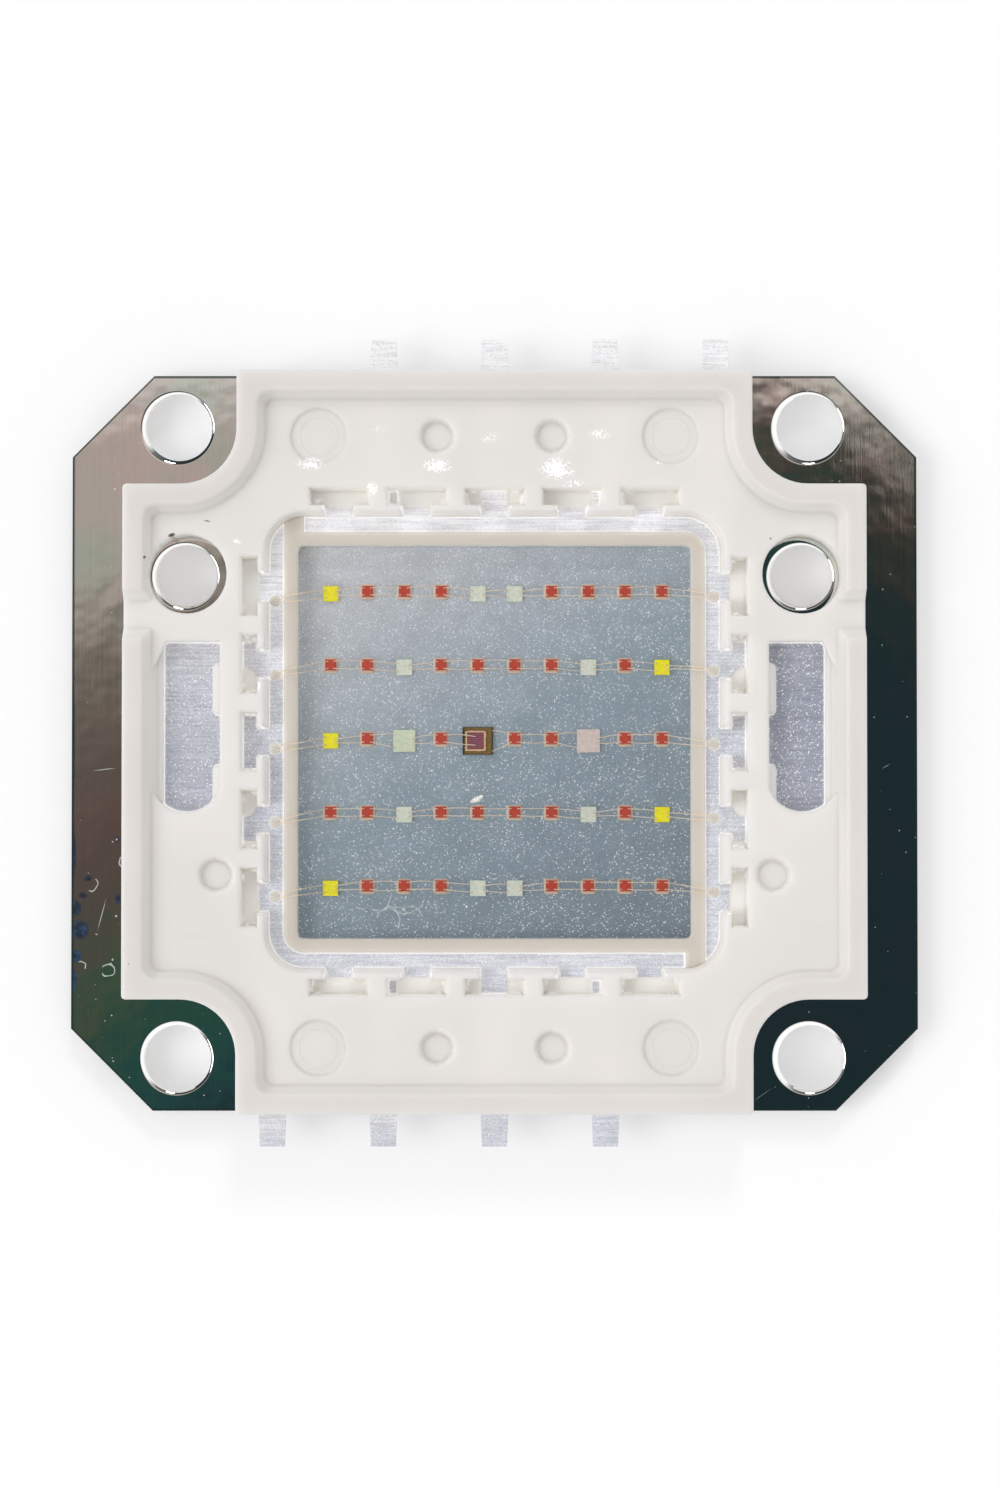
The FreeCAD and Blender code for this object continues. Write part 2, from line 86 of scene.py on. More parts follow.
# Middle x and y, half length, half width, turn in degrees and strength, in millimetres
scratches = (
    (-21.25, -1.47, 0.85, 0.03, 7, 0.8), (-21.35, -9.38, 1.1, 0.03, 75, 0.9),
    (-20.55, -5.28, 0.07, 0.07, 0, 1.0), (-20.77, -5.4, 0.06, 0.06, 0, 0.9),
    (-20.57, -9.44, 0.09, 0.08, 0, 1.0), (-21.63, -10.43, 0.08, 0.05, 0, 1.0),
    (21.3, -1.3, 0.35, 0.025, 30, 0.6), (14.6, -19.1, 0.9, 0.02, 35, 0.5),
    (-20.5, 14.6, 0.3, 0.03, 60, 0.4), (-21.9, 3.2, 1.6, 0.02, 88, 0.3),
)
stains = (
    (-22.5, -10.2, 0.75, 0.9, 0, 1.0), (-22.75, -9.0, 0.5, 0.7, 0, 1.0),
    (-22.75, -11.6, 0.5, 0.5, 0, 1.0), (-22.1, -7.4, 0.4, 0.35, 0, 0.85),
    (-22.35, -8.3, 0.5, 0.35, -10, 0.85), (-20.45, -8.5, 0.35, 0.45, 0, 0.85),
    (-20.5, -5.3, 0.3, 0.3, 0, 0.7), (-22.95, -6.0, 0.35, 2.4, 0, 1.0),
    (-22.95, -12.9, 0.5, 1.1, 0, 0.9), (-23.0, 0.0, 0.3, 7.0, 0, 0.9),
)
# Middle x and y, radius, turn in degrees, and the level under which the ring is cut away
lint = (
    (-21.95, -7.7, 0.36, -115, 0.05), (-22.5, -12.2, 0.27, -45, 0.1),
    (-21.0, -12.37, 0.34, -90, -0.28), (-20.2, -6.45, 0.22, 90, 0.0),
)


def linear(code):
    """An sRGB hex colour as linear red, green, blue and full alpha."""
    channels = [int(code[i:i + 2], 16) / 255 for i in (0, 2, 4)]
    return tuple(c / 12.92 if c <= 0.04045 else ((c + 0.055) / 1.055) ** 2.4
                 for c in channels) + (1.0,)


def put(tree, kind, *inputs, **settings):
    """Adds a shader node with its settings. The inputs in use are given in their order, or by
    name in a dict. Each takes a value, a socket, or a node, which stands for its first output
    in use."""
    node = tree.nodes.new("ShaderNode" + kind)
    for name, value in settings.items():
        setattr(node, name, value)
    if inputs and isinstance(inputs[0], dict):
        given = [(node.inputs[name], value) for name, value in inputs[0].items()]
    else:
        given = zip([socket for socket in node.inputs if socket.enabled], inputs)
    for socket, value in given:
        if isinstance(value, bpy.types.Node):
            value = next(output for output in value.outputs if output.enabled)
        if isinstance(value, bpy.types.NodeSocket):
            tree.links.new(value, socket)
        else:
            socket.default_value = value
    return node


def made_of(name, finish, *choices):
    """A material of the given name, whose shader comes from finish(tree, *choices)."""
    material = bpy.data.materials.new(name)
    material.use_nodes = True
    tree = material.node_tree
    tree.nodes.clear()
    put(tree, "OutputMaterial", finish(tree, *choices))
    return material


def dress(node, material):
    """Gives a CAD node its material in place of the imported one."""
    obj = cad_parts[node]
    obj.data.materials.clear()
    obj.data.materials.append(material)


def ovals(tree, place, spots):
    """The strongest of several soft ovals at a place: one in the middle, nothing at the edge."""
    strongest = None
    for x, y, half_length, half_width, turn, strength in spots:
        local = put(tree, "Mapping", place, (x * MM, y * MM, 0), (0, 0, math.radians(turn)),
                    (half_length * MM, half_width * MM, 1), vector_type="TEXTURE")
        reach = put(tree, "VectorMath", local, operation="LENGTH")
        spot = put(tree, "MapRange", reach, 1.0, 0.0, 0.0, strength)
        if strongest:
            spot = put(tree, "Math", strongest, spot, operation="MAXIMUM")
        strongest = spot
    return strongest


def bent(tree, place, size, shift):
    """Places moved a little by noise, so that lines and rings drawn by them are uneven."""
    noise = put(tree, "TexNoise", place, 1 / size, 1.0)
    off = put(tree, "VectorMath", noise.outputs["Color"], (0.5, 0.5, 0.5), operation="SUBTRACT")
    off = put(tree, "VectorMath", off, shift, operation="SCALE")
    return put(tree, "VectorMath", place, off, operation="ADD")


def hooks(tree, place, rings, half_width):
    """The strongest of several fine hooks: each is a ring's line less what is cut away."""
    place = bent(tree, place, wobble_size, wobble)
    strongest = None
    for x, y, radius, turn, cut in rings:
        local = put(tree, "Mapping", place, (x * MM, y * MM, 0), (0, 0, math.radians(turn)),
                    (MM, MM, 1), vector_type="TEXTURE")
        reach = put(tree, "VectorMath", local, operation="LENGTH")
        off = put(tree, "Math", reach, radius, operation="SUBTRACT")
        off = put(tree, "Math", off, operation="ABSOLUTE")
        line = put(tree, "MapRange", off, half_width, half_width / 2)
        up = put(tree, "SeparateXYZ", local).outputs["Y"]
        kept = put(tree, "Math", up, cut, operation="GREATER_THAN")
        line = put(tree, "Math", line, kept, operation="MULTIPLY")
        if strongest:
            line = put(tree, "Math", strongest, line, operation="MAXIMUM")
        strongest = line
    return strongest


def glinting_grain_colour(tree, place, grain, base, share):
    """Colour of crystal grains: a chance number makes each a little lighter or darker than
    the base, and another paints a share of them white as painted glints, more in some patches."""
    cells = put(tree, "TexVoronoi", place, 1 / grain)
    chances = put(tree, "SeparateColor", cells.outputs["Color"])
    tone = put(tree, "MapRange", chances.outputs["Red"], 0.0, 1.0, 0.88, 1.12)
    patch = put(tree, "TexNoise", place, 1 / sparkle_patch, 2.0)
    mottle = put(tree, "MapRange", patch, 0.35, 0.65, 0.95, 1.05)
    tone = put(tree, "Math", tone, mottle, operation="MULTIPLY")
    uneven = put(tree, "VectorMath", base, tone, operation="SCALE")
    limit = put(tree, "MapRange", patch, 0.35, 0.65, 1 - 0.75 * share, 1 - 1.25 * share)
    excess = put(tree, "Math", chances.outputs["Green"], limit, operation="SUBTRACT")
    painted_glint_share = put(tree, "MapRange", excess, 0.0, 0.6 * share)
    return put(tree, "Mix", painted_glint_share, uneven, white, data_type="RGBA")


def banded(tree, share, stops):
    """Colour that goes through several stops as a share rises from 0 to 1."""
    ramp = put(tree, "ValToRGB", share)
    ramp.color_ramp.elements.remove(ramp.color_ramp.elements[0])
    for i, (stop, code) in enumerate(stops):
        element = ramp.color_ramp.elements.new(stop) if i else ramp.color_ramp.elements[0]
        element.position = stop
        element.color = linear(code)
    return ramp.outputs["Color"]


def painted_light_slant(tree, place, slant, middle, stops):
    """Painted light: colour that changes slowly along a slanted line over the part, through
    several stops.
    """
    along = put(tree, "VectorMath", place, slant, operation="DOT_PRODUCT")
    share = put(tree, "Math", along, middle, operation="ADD", use_clamp=True)
    return banded(tree, share, stops)


def dust(tree, place, spacing, largest):
    """Specks of dust: small dots round the points of an irregular lattice."""
    cells = put(tree, "TexVoronoi", place, 1 / spacing)
    chosen = put(tree, "SeparateColor", cells.outputs["Color"])
    size = put(tree, "MapRange", chosen.outputs["Red"], 0.6, 1.0, 0.0, largest)
    return put(tree, "Math", cells.outputs["Distance"], size, operation="LESS_THAN")


def in_window(tree, axes):
    """One where the larger of x and y is inside the filled window, and nothing outside it."""
    inside = []
    for axis in ("X", "Y"):
        size = put(tree, "Math", axes.outputs[axis], operation="ABSOLUTE")
        inside.append(put(tree, "Math", size, gel_high.x + window_margin, operation="LESS_THAN"))
    return put(tree, "Math", inside[0], inside[1], operation="MULTIPLY")


def past_outline(tree, place):
    """How far a place lies outside the plate: the most by which x, y or their sum is past its
    limit."""
    sizes = put(tree, "VectorMath", place, operation="ABSOLUTE")
    sizes = put(tree, "SeparateXYZ", sizes)
    both_sizes = put(tree, "Math", sizes.outputs["X"], sizes.outputs["Y"], operation="ADD")
    outside = None
    for size, limit in ((sizes.outputs["X"], plate_high.x), (sizes.outputs["Y"], plate_high.y),
                        (both_sizes, plate_high.x + plate_high.y - corner_cut)):
        past = put(tree, "Math", size, limit, operation="SUBTRACT")
        if outside:
            past = put(tree, "Math", outside, past, operation="MAXIMUM")
        outside = past
    return outside


def rolled_edges(tree, place, rolled):
    """The punched holes' edges are rolled over, more on their left: the normal leans ever more
    towards a hole's middle. Where it leans most, they are painted white as a highlight."""
    painted_lip_highlights = []
    side_of = put(tree, "VectorMath", place, operation="SIGN")
    flat = put(tree, "VectorMath", place, (1.0, 1.0, 0.0), operation="MULTIPLY")
    for x, y, radius in holes:
        middle = put(tree, "VectorMath", side_of, (x, y, 0.0), operation="MULTIPLY")
        inward = put(tree, "VectorMath", middle, flat, operation="SUBTRACT")
        reach = put(tree, "VectorMath", inward, operation="LENGTH")
        leftward = put(tree, "SeparateXYZ", inward)
        limit = put(tree, "MapRange", leftward.outputs["X"], -radius, radius,
                    radius + roll_on_right * hole_edge_roll,
                    radius + roll_on_left * hole_edge_roll)
        lean = put(tree, "MapRange", reach, limit, radius, 0.0, full_lean / radius)
        painted_lip_highlights.append(put(tree, "MapRange", lean, 0.1 / radius, 0.4 / radius))
        lean = put(tree, "VectorMath", inward, lean, operation="SCALE")
        rolled = put(tree, "VectorMath", rolled, lean, operation="ADD")
    return put(tree, "VectorMath", rolled, operation="NORMALIZE"), painted_lip_highlights


def blue_tarnish(tree, place, upward):
    """Where the tarnish lies, which faces look up, and its blotched blue."""
    blotch = put(tree, "TexNoise", place, 1 / blotch_size, 4.0, 0.7)
    stain = put(tree, "Math", ovals(tree, place, stains), blotch, operation="ADD")
    stained = put(tree, "MapRange", stain, 0.78, 1.05, 0.0, 0.8)
    above = put(tree, "Math", upward, 0.5, operation="GREATER_THAN")
    stained = put(tree, "Math", stained, above, operation="MULTIPLY")
    blue = put(tree, "MapRange", blotch, 0.45, 0.7)
    blue = put(tree, "Mix", blue, linear("1c2a3c"), linear("38587c"), data_type="RGBA")
    return stained, above, put(tree, "BsdfDiffuse", blue)


def littered(tree, place, below):
    """Pale scratches, lint and dust over the shader below."""
    scratch = put(tree, "MapRange", ovals(tree, place, scratches), 0.1, 0.5)
    threads = hooks(tree, place, lint, lint_width)
    marked = put(tree, "Math", scratch, threads, operation="MAXIMUM")
    coarse, fine = [dust(tree, place, *sizes) for sizes in dust_sizes]
    specks = put(tree, "Math", coarse, fine, operation="MAXIMUM")
    marked = put(tree, "Math", marked, specks, operation="MAXIMUM")
    marked = put(tree, "Math", marked, 0.7, operation="MULTIPLY")
    pale = put(tree, "BsdfDiffuse", linear("d0d2d2"))
    return put(tree, "MixShader", marked, below, pale)


def nickel_and_silver(tree):
    """Mirror nickel with fine upright rolling marks, painted shade round the outline and painted
    white highlights on the holes' lips; satin silver with painted light where the window lies.
    """
    place = put(tree, "TexCoord").outputs["Object"]
    axes = put(tree, "SeparateXYZ", place)
    window = in_window(tree, axes)
    frequency = (1 / rolling_mark_pitch, 1 / rolling_mark_length, 1 / rolling_mark_length)
    stretch = put(tree, "Mapping", place, (0, 0, 0), (0, 0, 0), frequency)
    marks = put(tree, "TexNoise", stretch, 1.0, 4.0, 0.7)
    waves = put(tree, "TexNoise", place, 1 / wave_length, 2.0)
    outside = past_outline(tree, place)
    facing = put(tree, "NewGeometry")
    at_outline = put(tree, "Math", outside, -outline_band, operation="GREATER_THAN")
    rolled, lip_highlight_masks = rolled_edges(tree, place, facing.outputs["Normal"])
    wavy = put(tree, "Bump", {"Height": waves, "Normal": rolled, "Strength": 0.03,
                              "Distance": 0.3 * MM})
    relief = put(tree, "Bump", {"Height": marks, "Normal": wavy, "Strength": 0.035,
                                "Distance": 0.02 * MM})
    tone = put(tree, "MapRange", marks, 0.3, 0.75, 0.95, 1.04)
    tint = put(tree, "TexNoise", place, 1 / tint_patch, 3.0)
    tint = put(tree, "MapRange", tint, 0.35, 0.65)
    clean = put(tree, "Mix", tint, linear("dce6de"), linear("eee1de"), data_type="RGBA")
    clean = put(tree, "VectorMath", clean, tone, operation="SCALE")
    # Painted highlight: the holes' lips are painted white where they lean most
    bright = put(tree, "Math", *lip_highlight_masks, operation="MAXIMUM")
    clean = put(tree, "Mix", bright, clean, white, data_type="RGBA")
    # The stamping's sheared sides are torn, and so duller, in their lower third
    torn = put(tree, "Math", waves, torn_height, operation="MULTIPLY")
    torn = put(tree, "Math", axes.outputs["Z"], torn, operation="SUBTRACT")
    tear = put(tree, "MapRange", torn, -0.03 * MM, 0.05 * MM, 0.36, 0.6)
    mirror = put(tree, "BsdfPrincipled", {"Base Color": clean, "Metallic": 1.0, "Roughness": 0.05,
                                          "Normal": relief})
    sheared = put(tree, "VectorMath", clean, tear, operation="SCALE")
    satin = put(tree, "BsdfPrincipled", {"Base Color": sheared, "Metallic": 1.0, "Roughness": 0.3,
                                         "Normal": relief})
    upward = put(tree, "SeparateXYZ", facing.outputs["True Normal"])
    side = put(tree, "Math", upward.outputs["Z"], operation="ABSOLUTE")
    side = put(tree, "Math", side, 0.5, operation="LESS_THAN")
    side = put(tree, "Math", side, at_outline, operation="MULTIPLY")
    nickel = put(tree, "MixShader", side, mirror, satin)
    stained, above, blue = blue_tarnish(tree, place, upward.outputs["Z"])
    tarnished = put(tree, "MixShader", stained, nickel, blue)
    # Painted shade: a dark band along the plate's outline, on faces that look up
    rim = put(tree, "MapRange", outside, -outline_shade_width, -0.4 * outline_shade_width, 0.0, 0.9)
    rim = put(tree, "Math", rim, above, operation="MULTIPLY")
    painted_outline_shade = put(tree, "BsdfDiffuse", linear("22302e"))
    edged = put(tree, "MixShader", rim, tarnished, painted_outline_shade)
    dusty = littered(tree, place, edged)
    # The window's silver: painted light along a slant, with painted glints on some grains
    window_painted_light = painted_light_slant(tree, place, window_light_slant, 0.5, window_light_stops)
    window_painted_light = glinting_grain_colour(tree, place, silver_grain, window_painted_light, 0.08)
    silver = put(tree, "BsdfPrincipled", {"Base Color": window_painted_light, "Metallic": 0.3,
                                          "Roughness": 0.3})
    return put(tree, "MixShader", window, dusty, silver)


dress("base_plate", made_of("nickel_plated_copper", nickel_and_silver))


# Leads: two half-turned strips stamped from thin copper alloy and silver plated. They lie bare
# in the channel, the slots and the solder pads, brushed along X and grainy. Their colour carries
# painted light along a slant, painted shade on the pads and painted glints on some grains, and a
# thin white line of painted highlight, which also glows, lies where the plastic meets them.
strip_edge = 0.06 * MM
edge_glint_reach = 0.16 * MM
# The brushed lines are drawn twice as coarse as real ones, so that they show
brush_pitch = 0.11 * MM
brush_length = 3.0 * MM
# Painted light on the strips: brightest at the top, with lighter and darker bands along this slant
strip_light_slant = (-3.0, 24.0, 0.0)
strip_light_stops = ((0.0, "dde0ea"), (0.04, "f1f2f7"), (0.1, "ccd1e0"), (0.2, "e4e6ee"),
               (0.5, "cfd2dc"), (0.8, "fbfbfe"))
pad_inner = 13.6 * MM
pad_outer = 15.2 * MM


def plated_strip(tree):
    """Silver-plated strip with brushed lines and grains, painted light along a slant, painted
    shade on the pads, painted glints, and a glowing painted highlight where the plastic meets it.
    """
    place = put(tree, "TexCoord").outputs["Object"]
    frequency = (1 / brush_length, 1 / brush_pitch, 1 / brush_pitch)
    stretch = put(tree, "Mapping", place, (0, 0, 0), (0, 0, 0), frequency)
    brushed = put(tree, "TexNoise", stretch, 1.0, 3.0, 0.7)
    edge = put(tree, "Bevel", {"Radius": strip_edge}, samples=4)
    relief = put(tree, "Bump", {"Height": brushed, "Strength": 0.3, "Distance": 0.02 * MM,
                                "Normal": edge})
    x = put(tree, "SeparateXYZ", place).outputs["X"]
    # Painted shade: the pads are painted darker and bluer, more on the right
    left = put(tree, "MapRange", x, -pad_inner, -pad_outer, 1.0, 0.88)
    right = put(tree, "MapRange", x, pad_inner, pad_outer, 1.0, 0.68)
    lines = put(tree, "MapRange", brushed, 0.3, 0.7, 0.78, 1.16)
    pad_shade = put(tree, "Math", left, right, operation="MULTIPLY")
    pad_shade_and_lines = put(tree, "Math", pad_shade, lines, operation="MULTIPLY")
    pad_shade_tint = put(tree, "Mix", pad_shade, linear("c2ccee"), white, data_type="RGBA")
    colour = painted_light_slant(tree, place, strip_light_slant, 0.5, strip_light_stops)
    colour = put(tree, "VectorMath", colour, pad_shade_tint, operation="MULTIPLY")
    colour = put(tree, "VectorMath", colour, pad_shade_and_lines, operation="SCALE")
    # Painted highlight: a thin white line, which also glows, where the plastic meets the strip
    near = put(tree, "AmbientOcclusion", {"Distance": edge_glint_reach}, samples=6)
    painted_white_glint = put(tree, "MapRange", near.outputs["AO"], 0.78, 0.6)
    colour = glinting_grain_colour(tree, place, silver_grain, colour, 0.1)
    colour = put(tree, "Mix", painted_white_glint, colour, white, data_type="RGBA")
    shine = put(tree, "BsdfPrincipled", {"Base Color": colour, "Metallic": 0.15, "Roughness": 0.36,
                                         "Emission Color": painted_white_glint, "Emission Strength": 0.35,
                                         "Normal": relief})
    return shine


strip = made_of("silver_plated_strip", plated_strip)
for lead in ("lead_left_bottom", "lead_top_right"):
    dress(lead, strip)


# Housing: heat-resistant white plastic, injection moulded round the leads and through the
# plate. It is smooth and satin, warmer in its recesses, with sink rings over its four rivets
# and faint scuffs. Its rim top is painted greyer than its face, which is painted shade, and its
# steep walls and deepest floors are painted paler, which is painted light. Resin lies smeared
# near its upper slots and caught in their corners, and the white of these marks and their faint
# glow are painted glints.
housing_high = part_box("housing")[1]
moulded_edge = 0.3 * MM
recess_level = 2.62 * MM
face_level = 2.85 * MM
glow_depth = 0.8 * MM
slot_floor_limit = 2.5 * MM
rivet_middle = (9.5 * MM, 16.5 * MM, 0.0)
sink_ring_radius = 1.03 * MM
sink_ring_width = 0.09 * MM
slot_pitch = 4.2 * MM
slotted_reach = 2.45 * slot_pitch
rim_level = 3.7 * MM
flow_size = 5.0 * MM
curl_size = 0.2 * MM
slot_glint_patch = 1.5 * MM
skin_size = 0.35 * MM

# Painted glints: white marks where resin smears catch the light
# Middle x and y, half length, half width, turn in degrees and strength, in millimetres
smear_glints = (
    (-9.97, 15.0, 1.2, 0.55, 0, 0.95), (-6.2, 16.9, 1.1, 0.45, 10, 0.5),
    (-3.1, 14.9, 1.3, 0.6, 0, 1.0), (-0.24, 16.35, 1.6, 0.8, 15, 0.42),
    (3.38, 14.75, 1.5, 0.9, 0, 1.0), (5.7, 16.6, 1.0, 0.45, 0, 0.8),
    (-6.6, 13.65, 0.5, 0.6, 20, 0.95), (-13.9, 10.8, 0.6, 0.4, 0, 0.6),
    (8.9, 15.1, 0.7, 0.35, 0, 0.5), (4.2, 13.9, 1.1, 0.35, 10, 0.8),
    (-5.2, 13.2, 0.3, 0.5, 0, 0.85), (-9.7, 13.05, 0.6, 0.25, 20, 0.9),
    (7.4, 13.6, 0.6, 0.3, 0, 0.7), (-2.9, 12.9, 0.4, 0.25, -20, 0.8),
    (-12.7, 3.0, 0.25, 0.4, 0, 0.7), (-13.5, -5.2, 0.3, 0.5, 0, 0.65),
    (-13.4, 5.4, 0.3, 0.25, 0, 0.7), (-12.6, -9.0, 0.25, 0.5, 0, 0.6),
    (13.4, -9.6, 0.25, 0.5, 0, 0.55), (9.2, -13.0, 0.6, 0.25, 20, 0.6),
    (1.0, -13.1, 0.5, 0.2, 0, 0.55), (-5.6, -13.0, 0.4, 0.2, 0, 0.5),
    (12.9, 4.4, 0.3, 0.3, 0, 0.6), (-8.5, -13.1, 0.8, 0.2, 0, 0.55),
)
# The same for painted glints in one slot, whose middle is x = 0 and where y is the distance
# from the window's middle
glints = (
    (1.42, 13.0, 0.32, 0.14, 80, 1.0), (0.82, 12.6, 0.28, 0.12, 75, 1.0),
    (1.1, 13.58, 0.36, 0.1, 5, 0.95), (1.5, 13.4, 0.22, 0.12, 100, 0.9),
)
soot = (
    (-17.42, 11.14, 0.3, 0.16, 20, 1.0), (-18.83, 9.9, 0.14, 0.1, 60, 0.9),
    (-15.5, 11.9, 0.3, 0.06, -10, 0.8),
    (-19.6, -11.95, 0.07, 0.07, 0, 0.7), (14.9, 10.95, 0.09, 0.08, 0, 0.9),
)
scuffs = (
    (-16.0, -10.5, 1.3, 0.05, 0, 0.7), (15.6, -9.6, 0.05, 1.1, 0, 0.6),
    (17.2, -9.9, 1.2, 0.04, 0, 0.5), (-12.2, 11.2, 0.5, 0.04, 10, 0.6),
    (-6.0, -18.9, 0.9, 0.05, 5, 0.4), (6.4, 18.2, 0.8, 0.04, -8, 0.4),
)


def painted_resin_glints(tree, place):
    """Where painted glints of shiny resin lie: ovals of smear broken up by curling lines of
    noise, and glints caught in the slots, which fold onto one slot."""
    curl = put(tree, "TexNoise", place, 1 / curl_size, 1.0)
    curl = put(tree, "Math", curl, 0.5, operation="SUBTRACT")
    curl = put(tree, "Math", curl, operation="ABSOLUTE")
    curl = put(tree, "MapRange", curl, 0.12, 0.0, 0.0, 0.6)
    raised = put(tree, "Math", ovals(tree, place, smear_glints), curl, operation="ADD")
    painted_white_glint = put(tree, "MapRange", raised, 0.82, 0.95)
    sizes = put(tree, "VectorMath", place, operation="ABSOLUTE")
    sizes = put(tree, "SeparateXYZ", sizes)
    outward = put(tree, "Math", sizes.outputs["X"], sizes.outputs["Y"], operation="MAXIMUM")
    along = put(tree, "Math", sizes.outputs["X"], sizes.outputs["Y"], operation="MINIMUM")
    at_slots = put(tree, "Math", along, slotted_reach, operation="LESS_THAN")
    along = put(tree, "Math", along, slot_pitch / 2, operation="PINGPONG")
    in_slot = put(tree, "CombineXYZ", along, outward)
    slot_glint = put(tree, "TexNoise", place, 1 / slot_glint_patch)
    slot_glint = put(tree, "MapRange", slot_glint, 0.35, 0.55)
    slot_glint = put(tree, "Math", ovals(tree, in_slot, glints), slot_glint, operation="MULTIPLY")
    slot_glint = put(tree, "Math", slot_glint, at_slots, operation="MULTIPLY")
    slot_glint = put(tree, "Math", slot_glint, curl, operation="ADD")
    slot_glint = put(tree, "MapRange", slot_glint, 0.65, 0.78)
    return put(tree, "Math", painted_white_glint, slot_glint, operation="MAXIMUM")


def sink_rings(tree, place):
    """A raised ring over each of the four rivets, which fold onto one: highest at one radius
    from the rivet's middle."""
    folded = put(tree, "VectorMath", place, operation="ABSOLUTE")
    off_rivet = put(tree, "VectorMath", folded, rivet_middle, operation="SUBTRACT")
    flat = put(tree, "VectorMath", off_rivet, (1, 1, 0), operation="MULTIPLY")
    radius = put(tree, "VectorMath", flat, operation="LENGTH")
    off_ring = put(tree, "Math", radius, sink_ring_radius, operation="SUBTRACT")
    off_ring = put(tree, "Math", off_ring, operation="ABSOLUTE")
    return put(tree, "MapRange", off_ring, 0.0, sink_ring_width, 1.0, 0.0,
               interpolation_type="SMOOTHSTEP")


def white_moulding(tree):
    """Satin white plastic with a faint skin texture, painted light and shade by height and
    steepness, and speckled smears of shiny resin whose white is painted glints.
    """
    place = put(tree, "TexCoord").outputs["Object"]
    axes = put(tree, "SeparateXYZ", place)
    height = put(tree, "MapRange", axes.outputs["Z"], recess_level, face_level)
    flow = put(tree, "TexNoise", place, 1 / flow_size, 2.0)
    uneven = put(tree, "MapRange", flow, 0.3, 0.7, 0.985, 1.015)
    clean = put(tree, "Mix", height, linear("d3ccc2"), linear("e9e6e2"), data_type="RGBA")
    # Painted shade: the rim top is painted greyer than the face
    rim_painted_shade = put(tree, "MapRange", axes.outputs["Z"], rim_level, housing_high.z)
    clean = put(tree, "Mix", rim_painted_shade, clean, linear("e2deda"), data_type="RGBA")
    facing = put(tree, "NewGeometry").outputs["True Normal"]
    upward = put(tree, "SeparateXYZ", facing).outputs["Z"]
    # Painted light: steep walls and the deepest floors are painted paler, which lifts their shade
    wall = put(tree, "MapRange", upward, 0.3, 0.1)
    deep = put(tree, "Math", axes.outputs["Z"], slot_floor_limit, operation="LESS_THAN")
    pale = put(tree, "Math", wall, deep, operation="MAXIMUM")
    clean = put(tree, "Mix", pale, clean, linear("faf5ef"), data_type="RGBA")
    clean = put(tree, "VectorMath", clean, uneven, operation="SCALE")
    # Painted glints: the resin's marks are painted white and glow faintly
    painted_white_glint = painted_resin_glints(tree, place)
    colour = put(tree, "Mix", painted_white_glint, clean, white, data_type="RGBA")
    dark = put(tree, "MapRange", ovals(tree, place, soot), 0.2, 0.6)
    colour = put(tree, "Mix", dark, colour, linear("55504a"), data_type="RGBA")

    ring = sink_rings(tree, place)
    scuff = put(tree, "Math", ring, ovals(tree, place, scuffs), operation="MAXIMUM")
    skin = put(tree, "TexNoise", place, 1 / skin_size, 2.0)
    edge = put(tree, "Bevel", {"Radius": moulded_edge}, samples=6)
    marked = put(tree, "Bump", {"Height": scuff, "Strength": 0.8, "Distance": 0.05 * MM,
                                "Normal": edge})
    relief = put(tree, "Bump", {"Height": skin, "Strength": 0.08, "Distance": 0.03 * MM,
                                "Normal": marked})
    gloss = put(tree, "MapRange", painted_white_glint, 0.0, 1.0, 0.46, 0.12)
    plastic = put(tree, "BsdfPrincipled", {
        "Base Color": colour, "Roughness": gloss, "IOR": 1.5, "Subsurface Weight": 1.0,
        "Subsurface Radius": (1.0, 1.0, 1.0), "Subsurface Scale": glow_depth,
        "Emission Color": painted_white_glint, "Emission Strength": 0.2, "Normal": relief})
    return plastic


dress("housing", made_of("white_polyphthalamide", white_moulding))


# Dies: crystals sawn from wafers and glued to the plate. The red ones have a bright top and
# peach-coloured sloping flanks, the yellow ones a phosphor layer, and the rest are clear.
mottle_size = 0.14 * MM


def sawn_die(tree, top_colour, flank_colour, roughness):
    """Die with one colour on its level top and another on its flanks, slightly mottled."""
    place = put(tree, "TexCoord").outputs["Object"]
    facing = put(tree, "NewGeometry").outputs["True Normal"]
    upward = put(tree, "SeparateXYZ", facing).outputs["Z"]
    level = put(tree, "Math", upward, 0.95, operation="GREATER_THAN")
    colour = put(tree, "Mix", level, flank_colour, top_colour, data_type="RGBA")
    mottle = put(tree, "TexNoise", place, 1 / mottle_size, 2.0)
    tone = put(tree, "MapRange", mottle, 0.3, 0.7, 0.88, 1.06)
    mottled = put(tree, "VectorMath", colour, tone, operation="SCALE")
    return put(tree, "BsdfPrincipled", {"Base Color": mottled, "Roughness": roughness})


# The pale and yellow dies' flanks are darker copies of their tops' colour, which is painted shade
# Kind of die, its material, the colours of its top and its flanks, and its roughness
die_finishes = {}
for kind, name, top, flank, roughness in (
    ("red", "red_phosphide_crystal", "c44a38", "ecc8ae", 0.3),
    ("yellow", "yellow_phosphor_layer", "fdf01c", "e0cc28", 0.6),
    ("pale", "pale_sapphire_crystal", "e2e5d3", "c9cdb9", 0.35),
    ("pale_green", "green_sapphire_crystal", "dbe2c6", "c2caac", 0.35),
    ("pale_pink", "pink_sapphire_crystal", "e2cfc6", "cbb6ac", 0.35),
):
    die_finishes[kind] = made_of(name, sawn_die, linear(top), linear(flank), roughness)
dies = {}
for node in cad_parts:
    if "_die_" in node:
        kind, place = node.split("_die_")
        row, column = place.split("_")
        dies[int(row), int(column)] = (kind, node)
        if kind in die_finishes:
            dress(node, die_finishes[kind])


